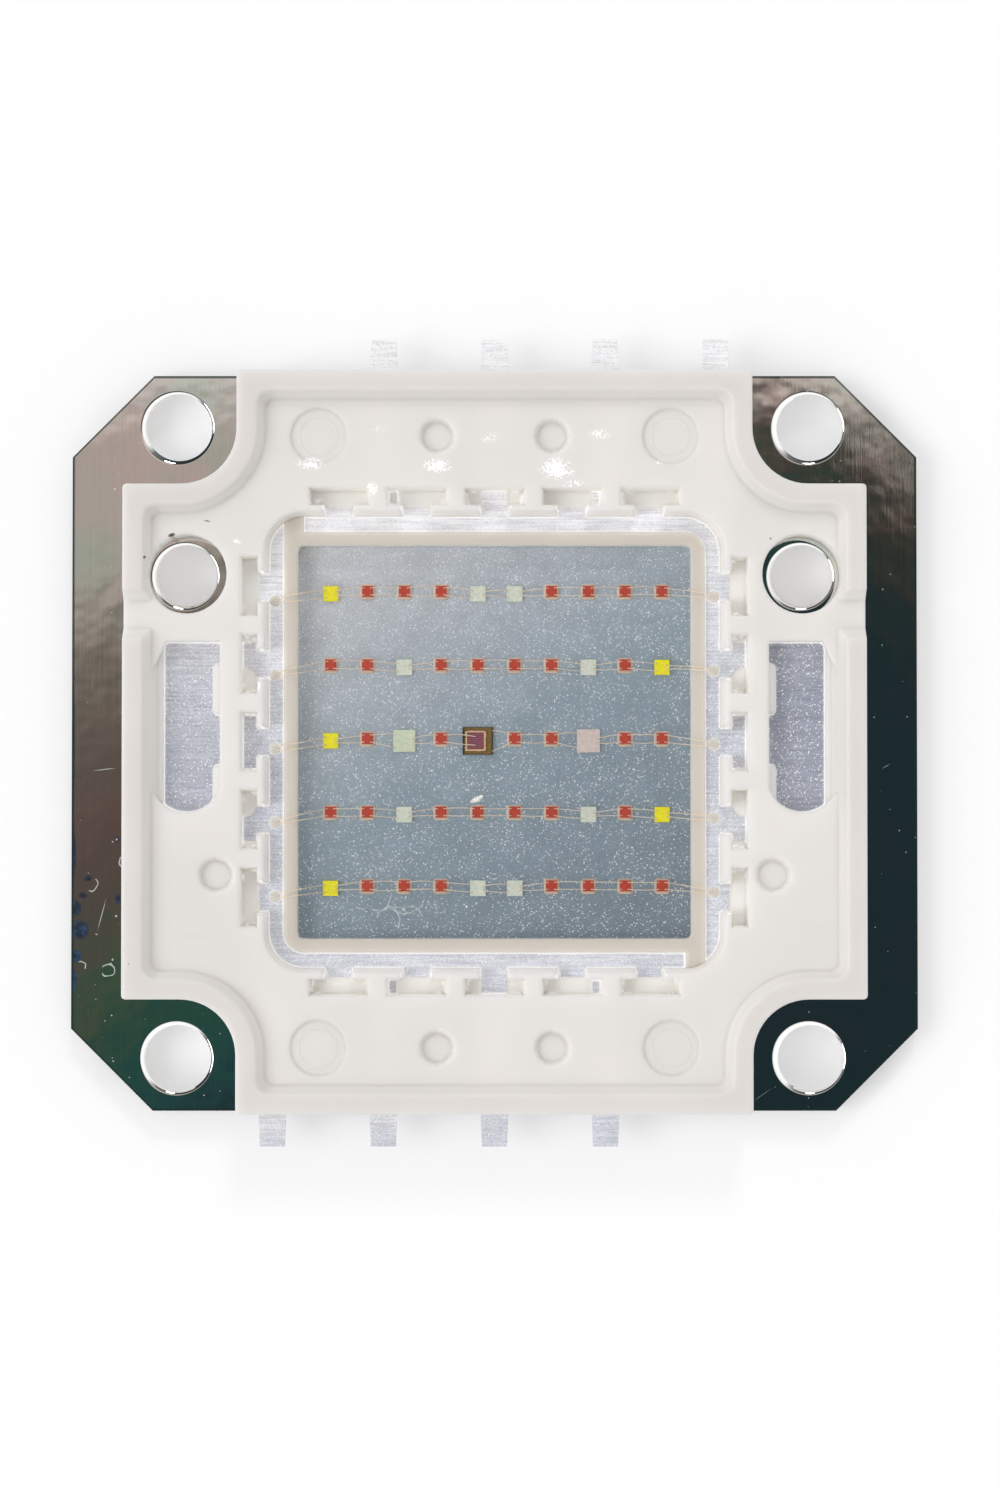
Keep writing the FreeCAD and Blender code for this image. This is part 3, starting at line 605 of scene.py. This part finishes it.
# Die adhesive: a cream epoxy that has crept out from under each red die, a little more on its
# lower side, and stands as a low fillet against its flanks.
fillet_reach = 0.05 * MM
fillet_height = 0.06 * MM
fillet_drop = 0.03 * MM
fillet_sides = 20
epoxy_patch = 0.15 * MM


def grid_faces(rows, columns, offset, around):
    """Quads of a grid of points laid out row by row; around closes each row on itself."""
    r = np.arange(rows - 1)[:, None]
    c = np.arange(columns if around else columns - 1)[None, :]
    following = (c + 1) % columns
    corners = (r * columns + c, r * columns + following, (r + 1) * columns + following,
               (r + 1) * columns + c)
    return np.stack([corner.ravel() for corner in corners], axis=1) + offset


def fillet(low, high):
    """Low ring round a die: squares with round corners, each the eighth-power mean circle of
    its size, fall from the die's flank to the plate and close again inside the die."""
    turn = np.linspace(0, 2 * np.pi, fillet_sides, endpoint=False)[None, :]
    half = (high.x - low.x) / 2
    sizes = np.array((half - fillet_reach, half + fillet_reach / 4, half + fillet_reach,
                      half, half - fillet_reach))[:, None]
    heights = np.array((fillet_height, fillet_height / 2, 0.0, 0.0, fillet_height))[:, None]
    drops = np.array((0.0, fillet_drop / 2, fillet_drop, 0.0, 0.0))[:, None]
    roundness = (np.abs(np.cos(turn)) ** 8 + np.abs(np.sin(turn)) ** 8) ** (-1 / 8)
    points = np.stack([(low.x + high.x) / 2 + sizes * roundness * np.cos(turn),
                       (low.y + high.y) / 2 - drops + sizes * roundness * np.sin(turn),
                       low.z + heights + 0 * turn], axis=2)
    return points.reshape(-1, 3), grid_faces(len(sizes), fillet_sides, 0, True)[:, ::-1]


def add_piece(name, surfaces, material, replaced=()):
    """One smooth mesh object from several surfaces, riding on the root body. Points that meet
    are merged, which closes poles and rings."""
    offset = 0
    all_points = []
    all_faces = []
    for points, faces in surfaces:
        all_points.append(points)
        all_faces.append(faces + offset)
        offset += len(points)
    mesh = bpy.data.meshes.new(name)
    mesh.from_pydata(np.concatenate(all_points).tolist(), [],
                     np.concatenate(all_faces).tolist())
    merged = bmesh.new()
    merged.from_mesh(mesh)
    bmesh.ops.remove_doubles(merged, verts=merged.verts, dist=1e-8)
    merged.to_mesh(mesh)
    merged.free()
    mesh.polygons.foreach_set("use_smooth", np.ones(len(mesh.polygons), bool))
    mesh.materials.append(material)
    mesh.update()
    obj = bpy.data.objects.new(name, mesh)
    scene.collection.objects.link(obj)
    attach(obj, "root")
    if replaced:
        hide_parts(*replaced)


def cream_epoxy(tree):
    """Cured epoxy: cream, a little translucent, with a soft shine and uneven tone."""
    place = put(tree, "TexCoord").outputs["Object"]
    uneven = put(tree, "TexNoise", place, 1 / epoxy_patch)
    colour = put(tree, "Mix", uneven, linear("ecc4a6"), linear("f6ecda"), data_type="RGBA")
    return put(tree, "BsdfPrincipled", {"Base Color": colour, "Roughness": 0.35})


fillets = [fillet(*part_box(node)) for kind, node in dies.values() if kind == "red"]
add_piece("epoxy_fillets", fillets, made_of("cream_die_epoxy", cream_epoxy))


# Infrared die: gallium arsenide on a gold-plated silicon carrier. Its striped maroon field has
# a wavy gold border, and the carrier's sawn edges are dark.
field_half = 0.46 * MM
border_half = 0.55 * MM
purple_half = 0.05 * MM
maroon_half = 0.42 * MM
stripe_pitch = 0.1 * MM
border_wave_size = 0.25 * MM
border_wave = 0.08 * MM
gilt_patch = 0.12 * MM
sawn_from = 0.66 * MM
sawn_to = 0.76 * MM
submount_low, submount_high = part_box("infrared_submount")
infrared_name = next(node for kind, node in dies.values() if kind == "infrared")
infrared_low, infrared_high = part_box(infrared_name)


def square_reach(tree, place, low, high):
    """Distance from a box's upright middle line, as the larger of its x and y, and the place
    seen from the box's middle."""
    middle = (low + high) / 2
    local = put(tree, "VectorMath", place, middle, operation="SUBTRACT")
    axes = put(tree, "SeparateXYZ", put(tree, "VectorMath", local, operation="ABSOLUTE"))
    reach = put(tree, "Math", axes.outputs["X"], axes.outputs["Y"], operation="MAXIMUM")
    return reach, local


def striped_arsenide(tree):
    """Maroon field with fine level stripes, purple in its middle, and a wavy gold border."""
    place = put(tree, "TexCoord").outputs["Object"]
    reach, local = square_reach(tree, place, infrared_low, infrared_high)
    across = put(tree, "SeparateXYZ", local).outputs["Y"]
    phase = put(tree, "Math", across, 2 * math.pi / stripe_pitch, operation="MULTIPLY")
    stripe = put(tree, "Math", phase, operation="SINE")
    stripe = put(tree, "MapRange", stripe, 0.2, 0.9)
    inner = put(tree, "MapRange", reach, purple_half, maroon_half)
    field = put(tree, "Mix", inner, linear("7a3a63"), linear("784044"), data_type="RGBA")
    field = put(tree, "Mix", stripe, field, linear("a8686c"), data_type="RGBA")
    shift = put(tree, "TexNoise", place, 1 / border_wave_size)
    shift = put(tree, "MapRange", shift, 0.0, 1.0, -border_wave, border_wave)
    wavy = put(tree, "Math", reach, shift, operation="ADD")
    on_border = put(tree, "Math", reach, field_half, operation="GREATER_THAN")
    past_border = put(tree, "Math", wavy, border_half, operation="GREATER_THAN")
    bordered = put(tree, "Mix", on_border, field, linear("e0b894"), data_type="RGBA")
    colour = put(tree, "Mix", past_border, bordered, linear("6e5630"), data_type="RGBA")
    return put(tree, "BsdfPrincipled", {"Base Color": colour, "Roughness": 0.35})


def gilt_silicon(tree):
    """Gold plating on a sawn carrier: brown-gold, a little uneven, with dark edges."""
    place = put(tree, "TexCoord").outputs["Object"]
    reach = square_reach(tree, place, submount_low, submount_high)[0]
    uneven = put(tree, "TexNoise", place, 1 / gilt_patch, 3.0)
    gold = put(tree, "Mix", uneven, linear("70571f"), linear("a07f45"), data_type="RGBA")
    sawn = put(tree, "MapRange", reach, sawn_from, sawn_to)
    colour = put(tree, "Mix", sawn, gold, linear("46402c"), data_type="RGBA")
    return put(tree, "BsdfPrincipled", {"Base Color": colour, "Metallic": 0.3, "Roughness": 0.45})


dress(infrared_name, made_of("infrared_arsenide_crystal", striped_arsenide))
dress("infrared_submount", made_of("gilt_silicon_carrier", gilt_silicon))


# Bond wires: fine gold wire, welded with a small ball on one die and a stitch on the next. They
# loop up from the ball and fall slowly to the stitch.
wire_radius = 0.026 * MM
ball_radius = 0.04 * MM
ball_flatness = 0.7
wire_rise = 0.2 * MM
wire_bow = 0.03
bow_chance = 0.05
# The power of the share of the way in the hump's sine: under 1, the wire peaks early
early_peak = 0.62
wire_steps = 22
tube_sides = 8
ball_sides = 10
# Landing and leaving points on each kind of die, in millimetres from its middle, along the
# string and to its side
wire_ends = {
    "red": ((-0.17, 0.19), (0.17, 0.19)),
    "yellow": ((-0.26, 0.2), (0.26, 0.1)),
    "pale": ((-0.28, 0.2), (0.28, 0.1)),
    "pale_green": ((-0.45, 0.4), (0.45, 0.12)),
    "pale_pink": ((-0.45, 0.4), (0.45, 0.12)),
    "infrared": ((0.0, 0.23), (0.68, 0.55)),
}
carrier_pad_shift = 0.13 * MM
infrared_leave_x = (submount_low.x + submount_high.x) / 2 + carrier_pad_shift
chance = np.random.default_rng(7)


def tube(path, radius):
    """Points and faces of a round tube: circles of one radius in the plane across the path,
    and a point at each end."""
    ahead = np.gradient(path, axis=0)
    ahead /= np.linalg.norm(ahead, axis=1, keepdims=True)
    level = np.cross(ahead, (0.0, 0.0, 1.0))
    level /= np.maximum(np.linalg.norm(level, axis=1, keepdims=True), 1e-9)
    upright = np.cross(level, ahead)
    turn = np.linspace(0, 2 * np.pi, tube_sides, endpoint=False)[None, :, None]
    rings = path[:, None, :] + radius * (np.cos(turn) * level[:, None, :]
                                         + np.sin(turn) * upright[:, None, :])
    ends = np.repeat(path[[0, -1], None, :], tube_sides, axis=1)
    rings = np.concatenate([ends[:1], rings, ends[1:]])
    return rings.reshape(-1, 3), grid_faces(len(rings), tube_sides, 0, True)[:, ::-1]


def dome(centre, profile, sides):
    """Surface of revolution about an upright axis: profile gives (radius, height) pairs."""
    turn = np.linspace(0, 2 * np.pi, sides, endpoint=False)[None, :]
    radii, heights = (np.array(column)[:, None] for column in zip(*profile))
    points = np.stack([centre[0] + radii * np.cos(turn), centre[1] + radii * np.sin(turn),
                       centre[2] + heights + 0 * turn], axis=2)
    return points.reshape(-1, 3), grid_faces(len(profile), sides, 0, True)


def wire_landing(row, column, leaving, side):
    """Where a wire lands on a die: an offset along and across the string from its middle."""
    kind, node = dies[row, column]
    low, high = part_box(node)
    along, across = wire_ends[kind][1 if leaving else 0]
    middle = (low + high) / 2
    place = Vector((middle.x + along * MM, middle.y + side * across * MM, high.z))
    if kind == "infrared" and leaving:
        place = Vector((infrared_leave_x + along * MM, place.y, submount_high.z))
    return place


def wire_loop(start, end, rise, bow, peak_early):
    """Wire path: straight in plan but for a sine bow, with a sine hump that peaks early."""
    t = np.linspace(0, 1, wire_steps)[:, None]
    start, end = np.array(start), np.array(end)
    across = np.array((start[1] - end[1], end[0] - start[0], 0.0))
    across /= np.linalg.norm(across)
    hump = np.sin(np.pi * t ** peak_early) * rise
    return start + (end - start) * t + across * bow * np.sin(np.pi * t) + hump * (0, 0, 1)


def ball(place):
    """Flattened gold ball under the start of a wire."""
    lift = np.linspace(0, np.pi / 2, 4)
    profile = [(ball_radius * math.cos(a), ball_radius * ball_flatness * math.sin(a))
               for a in lift]
    return dome(place, [(0.0, 0.0)] + profile, ball_sides)


def drawn_gold(tree):
    """Drawn gold wire: warm, smooth and metallic."""
    gold = put(tree, "BsdfPrincipled", {"Base Color": linear("f4e2cc"), "Metallic": 0.25,
                                        "Roughness": 0.28})
    return gold


gold_wire = made_of("drawn_gold_wire", drawn_gold)
row_count = max(row for row, column in dies)
column_count = max(column for row, column in dies)
loops = []
for row in range(1, row_count + 1):
    for column in range(1, column_count):
        for side in (-1, 1):
            start = wire_landing(row, column, True, side)
            end = wire_landing(row, column + 1, False, side)
            bow = (side * wire_bow + chance.uniform(-bow_chance, bow_chance)) * MM
            loops.append(tube(wire_loop(start, end, wire_rise, bow, early_peak), wire_radius))
            loops.append(ball(start))
add_piece("gold_string_wires", loops, gold_wire, ("string_wires",))


# Wires from the leads over the lip to the end dies. They start on the lead beside each row and
# pass the lip close above it.
caps_low, caps_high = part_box("bond_caps")
cap_radius = 0.32 * MM
cap_shift = {-1: -0.5 * MM, 1: -0.27 * MM}
lead_wire_gap = 0.2 * MM
lip_rise = 0.62 * MM
lip_peak = 0.75
lead_bow_chance = 0.06


def row_middle(row):
    """Where a row's middle line crosses the Y axis, from the dies at both its ends."""
    ends = [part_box(dies[row, column][1]) for column in (1, column_count)]
    return sum((low.y + high.y) / 2 for low, high in ends) / 2


def cap_middle(row, direction):
    """Middle of the drop on the lead beside a row."""
    x = caps_high.x - cap_radius
    return Vector((direction * x, row_middle(row) + cap_shift[direction], caps_low.z))


loops = []
for row in range(1, row_count + 1):
    for direction, column, leaving in ((-1, 1, False), (1, column_count, True)):
        for side in (-1, 1):
            foot = cap_middle(row, direction) + Vector((0, side * lead_wire_gap / 2, 0))
            end = wire_landing(row, column, leaving, side)
            bow = chance.uniform(-lead_bow_chance, lead_bow_chance) * MM
            path = wire_loop(foot, end, lip_rise, bow, lip_peak)
            loops.append(tube(path, wire_radius))
            loops.append(ball(end))
add_piece("gold_lead_wires", loops, gold_wire, ("lead_wires",))


# Drops over the wires' ends on the leads: clear silicone set by hand. Each is a low round dome
# that bulges a little over its foot.
cap_profile_steps = 9
cap_height = 0.2 * MM
cap_foot_angle = -0.12
cap_sides = 24


def cloudy_silicone(tree):
    """Cured silicone drop: greyish beige and translucent, with a wet shine."""
    drop = put(tree, "BsdfPrincipled", {"Base Color": linear("d8d3c8"), "Roughness": 0.16,
                                        "IOR": 1.41, "Transmission Weight": 0.2})
    see_through = put(tree, "BsdfTransparent")
    shade = put(tree, "LightPath").outputs["Is Shadow Ray"]
    return put(tree, "MixShader", shade, drop, see_through)


angles = np.linspace(cap_foot_angle, np.pi / 2, cap_profile_steps)
drop_profile = [(cap_radius * math.cos(a), cap_height * math.sin(a)) for a in angles]
drop_profile.insert(0, (0.0, drop_profile[0][1]))
drops = [dome(cap_middle(row, direction), drop_profile, cap_sides)
         for row in range(1, row_count + 1) for direction in (-1, 1)]
silicone = made_of("cloudy_silicone_drop", cloudy_silicone)
add_piece("silicone_drops", drops, silicone, ("bond_caps",))


# Filling: clear silicone gel, poured level with the lip. Its surface climbs a little at the
# walls, and it reaches just into the plate and walls so that no gap shows.
gel_steps = 90
gel_seat = 0.015 * MM
gel_sag = 0.05 * MM
gel_climb_run = 0.55 * MM
gel_ripple = 0.004 * MM
ripple_x = 420
ripple_y = 370
flake_grain = 0.12 * MM
fibre_width = 0.035
# A pale flake and two specks on the gel, then fine fibres, measured as on the plate
flakes = (
    (-0.98, -3.12, 0.5, 0.22, 25, 1.0), (-0.72, -2.95, 0.2, 0.14, 0, 1.0),
    (-1.5, -8.92, 0.13, 0.09, -30, 1.0), (2.6, 1.9, 0.09, 0.07, 0, 0.8),
)
fibres = (
    (-5.4, -9.9, 1.0, 10, 0.5), (-4.9, -8.0, 1.25, 190, 0.7), (-6.3, -8.4, 0.7, 215, 0.3),
    (-4.5, -9.5, 0.6, -20, 0.2), (-5.9, -9.7, 0.8, -60, 0.45),
)


def gel_surface():
    """Level grid whose height falls by sag * (1 - exp(-distance / run)) with the distance from
    the nearest wall, with a faint ripple sin(ax) * cos(by + 1), closed by a skirt down to a
    flat base."""
    half = gel_high.x + gel_seat
    line = np.sin(np.linspace(-1, 1, gel_steps) * np.pi / 2) * half
    x, y = np.meshgrid(line, line)
    wall = half - np.maximum(np.abs(x), np.abs(y))
    ripple = np.sin(x * ripple_x) * np.cos(y * ripple_y + 1) * gel_ripple
    z = gel_high.z - gel_seat - gel_sag * (1 - np.exp(-wall / gel_climb_run)) + ripple
    top = np.stack([x, y, z], axis=2).reshape(-1, 3)
    base = top * (1, 1, 0) + (0, 0, gel_low.z - gel_seat)
    count = gel_steps * gel_steps
    index = np.arange(count).reshape(gel_steps, gel_steps)
    rim = np.concatenate([index[0, :-1], index[:-1, -1], index[-1, :0:-1], index[:0:-1, 0]])
    following = np.roll(rim, -1)
    skirt = np.stack([following, rim, rim + count, following + count], axis=1)
    upper = grid_faces(gel_steps, gel_steps, 0, False)
    lower = grid_faces(gel_steps, gel_steps, count, False)[:, ::-1]
    return np.concatenate([top, base]), np.concatenate([upper, lower, skirt])


def clear_gel(tree):
    """Clear cured gel: water-clear, smooth, and open to light so that the dies stay bright."""
    glassy = put(tree, "BsdfPrincipled", {"Base Color": linear("fbfdff"), "Roughness": 0.0,
                                          "IOR": 1.41, "Transmission Weight": 1.0})
    see_through = put(tree, "BsdfTransparent")
    shade = put(tree, "LightPath").outputs["Is Shadow Ray"]
    clear = put(tree, "MixShader", shade, glassy, see_through)
    place = put(tree, "TexCoord").outputs["Object"]
    height = put(tree, "SeparateXYZ", place).outputs["Z"]
    on_top = put(tree, "Math", height, gel_high.z - 2 * gel_sag, operation="GREATER_THAN")
    flake = put(tree, "TexNoise", place, 1 / flake_grain, 2.0)
    flake = put(tree, "Math", ovals(tree, place, flakes), flake, operation="ADD")
    flake = put(tree, "MapRange", flake, 0.75, 1.1, 0.0, 0.9)
    fibre = hooks(tree, place, fibres, fibre_width)
    fibre = put(tree, "Math", fibre, 0.35, operation="MULTIPLY")
    litter = put(tree, "Math", flake, fibre, operation="MAXIMUM")
    litter = put(tree, "Math", litter, on_top, operation="MULTIPLY")
    pale = put(tree, "BsdfDiffuse", linear("f0ede2"))
    return put(tree, "MixShader", litter, clear, pale)


gel = made_of("clear_silicone_gel", clear_gel)
add_piece("gel_filling", [gel_surface()], gel, ("encapsulant",))


# Floor: a plain white sheet on which the part lies, far larger than the view. It belongs to
# the stage and not to the part.
floor_half = 1.5
floor_drop = 0.02 * MM
# Where the part starts to shade the floor and where it shades it in full, from the plate's edge
shade_start = -0.5 * MM
shade_full = -1.5 * MM


def white_floor(tree):
    """White sheet: it shows as white to the camera and in metal, and keeps the shadow. Right
    under the part it is duller, as the part shades it."""
    place = put(tree, "TexCoord").outputs["Object"]
    size = put(tree, "VectorMath", place, operation="ABSOLUTE")
    size = put(tree, "VectorMath", size, plate_high, operation="SUBTRACT")
    size = put(tree, "SeparateXYZ", size)
    outside = put(tree, "Math", size.outputs["X"], size.outputs["Y"], operation="MAXIMUM")
    glow = put(tree, "MapRange", outside, shade_full, shade_start, 0.25, 0.36)
    lit = put(tree, "BsdfDiffuse", (0.99, 0.99, 0.99, 1.0))
    bright = put(tree, "Emission", {"Strength": 1.0})
    path = put(tree, "LightPath")
    seen = put(tree, "Math", path.outputs["Is Camera Ray"], path.outputs["Is Glossy Ray"],
               operation="MAXIMUM")
    seen = put(tree, "Math", seen, path.outputs["Is Transmission Ray"], operation="MAXIMUM")
    share = put(tree, "Math", seen, glow, operation="MULTIPLY")
    return put(tree, "MixShader", share, lit, bright)


floor_mesh = bpy.data.meshes.new("floor")
corners = [(x * floor_half, y * floor_half, -floor_drop)
           for x, y in ((-1, -1), (1, -1), (1, 1), (-1, 1))]
floor_mesh.from_pydata(corners, [], [(0, 1, 2, 3)])
floor_mesh.materials.append(made_of("white_sheet", white_floor))
floor = bpy.data.objects.new("floor", floor_mesh)
scene.collection.objects.link(floor)


# Studio: an even white room with a broad soft lamp on the left and a smaller one at the back.
# As mirrors show it, its ceiling is dark over the part and brown in a corner, with two thin
# streaks of light, and its walls fade from white at the right and front to dark.
room_white = (0.69, 0.69, 0.7, 1.0)
ceiling_slant = (-2.6, 4.1, 0.0)
cloud_fineness = 14.0
# Direction across, place and half width of each streak of light on the ceiling
streak_lines = (((1.0, 1.0, 0.0), 0.2135, 0.01), ((1.0, 0.0, 0.0), 0.1055, 0.007))
ceiling_stops = ((0.0, "213036"), (0.06, "24343a"), (0.13, "264e4e"), (0.2, "2c4c42"),
                 (0.28, "475a47"), (0.36, "554e49"), (0.43, "5c504c"), (0.6, "6c625c"),
                 (0.68, "857c75"), (0.77, "b4ada6"), (0.84, "b6afa9"), (0.96, "b0a9a4"),
                 (1.0, "d4d0cc"))
brown_stops = ((0.0, "38362f"), (0.3, "382b26"), (0.55, "8b807a"), (0.8, "c4b9b4"),
               (1.0, "ede5e1"))
wall_stops = ((0.0, "2c3436"), (0.45, "6e7072"), (0.68, "f2f2f2"), (1.0, "ffffff"))
world = bpy.data.worlds.new("studio")
world.use_nodes = True
scene.world = world
tree = world.node_tree
tree.nodes.clear()
heading = put(tree, "TexCoord").outputs["Generated"]
axes = put(tree, "SeparateXYZ", heading)
slant = put(tree, "VectorMath", heading, ceiling_slant, operation="DOT_PRODUCT")
cloud = put(tree, "TexNoise", heading, cloud_fineness, 2.0)
cloud = put(tree, "MapRange", cloud, 0.0, 1.0, 0.05, 0.32)
away = put(tree, "MapRange", axes.outputs["X"], 0.0, 0.08, 0.0, -0.24)
beyond = put(tree, "MapRange", axes.outputs["Y"], 0.117, 0.128, 0.0, 0.46)
streaks = []
for across, middle, half_width in streak_lines:
    streak = put(tree, "VectorMath", heading, across, operation="DOT_PRODUCT")
    streak = put(tree, "Math", streak, middle, operation="SUBTRACT")
    streak = put(tree, "Math", streak, operation="ABSOLUTE")
    streaks.append(put(tree, "MapRange", streak, half_width, 0.0, 0.0, 0.7,
                       interpolation_type="SMOOTHSTEP"))
fading = put(tree, "MapRange", axes.outputs["Y"], 0.086, 0.112)
low_streak = put(tree, "Math", streaks[1], fading, operation="MULTIPLY")
streak = put(tree, "Math", streaks[0], low_streak, operation="MAXIMUM")
tone = slant
for share in (cloud, away, beyond, streak):
    tone = put(tree, "Math", tone, share, operation="ADD")
wall_tone = put(tree, "VectorMath", heading, (0.7, -0.7, 0.0), operation="DOT_PRODUCT")
wall_tone = put(tree, "MapRange", wall_tone, -0.6, 0.45)
overhead = put(tree, "MapRange", axes.outputs["Z"], 0.9, 0.965)
corner = put(tree, "VectorMath", heading, (1.0, 1.0, 0.0), operation="DOT_PRODUCT")
corner = put(tree, "MapRange", corner, 0.165, 0.19)
plain = banded(tree, tone, ceiling_stops)
brown = banded(tree, tone, brown_stops)
ceiling = put(tree, "Mix", corner, plain, brown, data_type="RGBA")
shown = put(tree, "Mix", overhead, banded(tree, wall_tone, wall_stops), ceiling, data_type="RGBA")
path = put(tree, "LightPath")
room = put(tree, "Mix", path.outputs["Is Diffuse Ray"], shown, room_white, data_type="RGBA")
surround = put(tree, "Mix", path.outputs["Is Camera Ray"], room, white, data_type="RGBA")
sky = put(tree, "Background", {"Color": surround, "Strength": 1.0})
put(tree, "OutputWorld", sky)

# Each lamp's place, the width of its disc in degrees, and its strength
lamps = (
    ("broad_left_lamp", (-0.7, -0.1, 0.7), 35, 1.0),
    ("small_far_lamp", (0.1, 0.75, 0.65), 12, 0.4),
)
for name, place, width, strength in lamps:
    lamp = bpy.data.lights.new(name, "SUN")
    lamp.angle = math.radians(width)
    lamp.energy = strength
    holder = bpy.data.objects.new(name, lamp)
    holder.location = place
    holder.rotation_euler = (-Vector(place)).to_track_quat("-Z", "Y").to_euler()
    scene.collection.objects.link(holder)


# Camera: straight above but for a degree and a half, with a long lens, so that the part fills
# the frame as it does in the photograph.
aim = Vector((0.30, -0.41, 1.5)) * MM
elevation = math.radians(88.5)
distance = 200 * MM
camera = bpy.data.cameras.new("camera")
camera.sensor_fit = "VERTICAL"
camera.sensor_height = 36.0
camera.lens = 88.2
camera.clip_start = 0.001
viewer = bpy.data.objects.new("camera", camera)
viewer.location = aim + Vector((0, -math.cos(elevation), math.sin(elevation))) * distance
viewer.rotation_euler = (math.pi / 2 - elevation, 0, 0)
scene.collection.objects.link(viewer)
scene.camera = viewer

scene.view_settings.view_transform = "Standard"
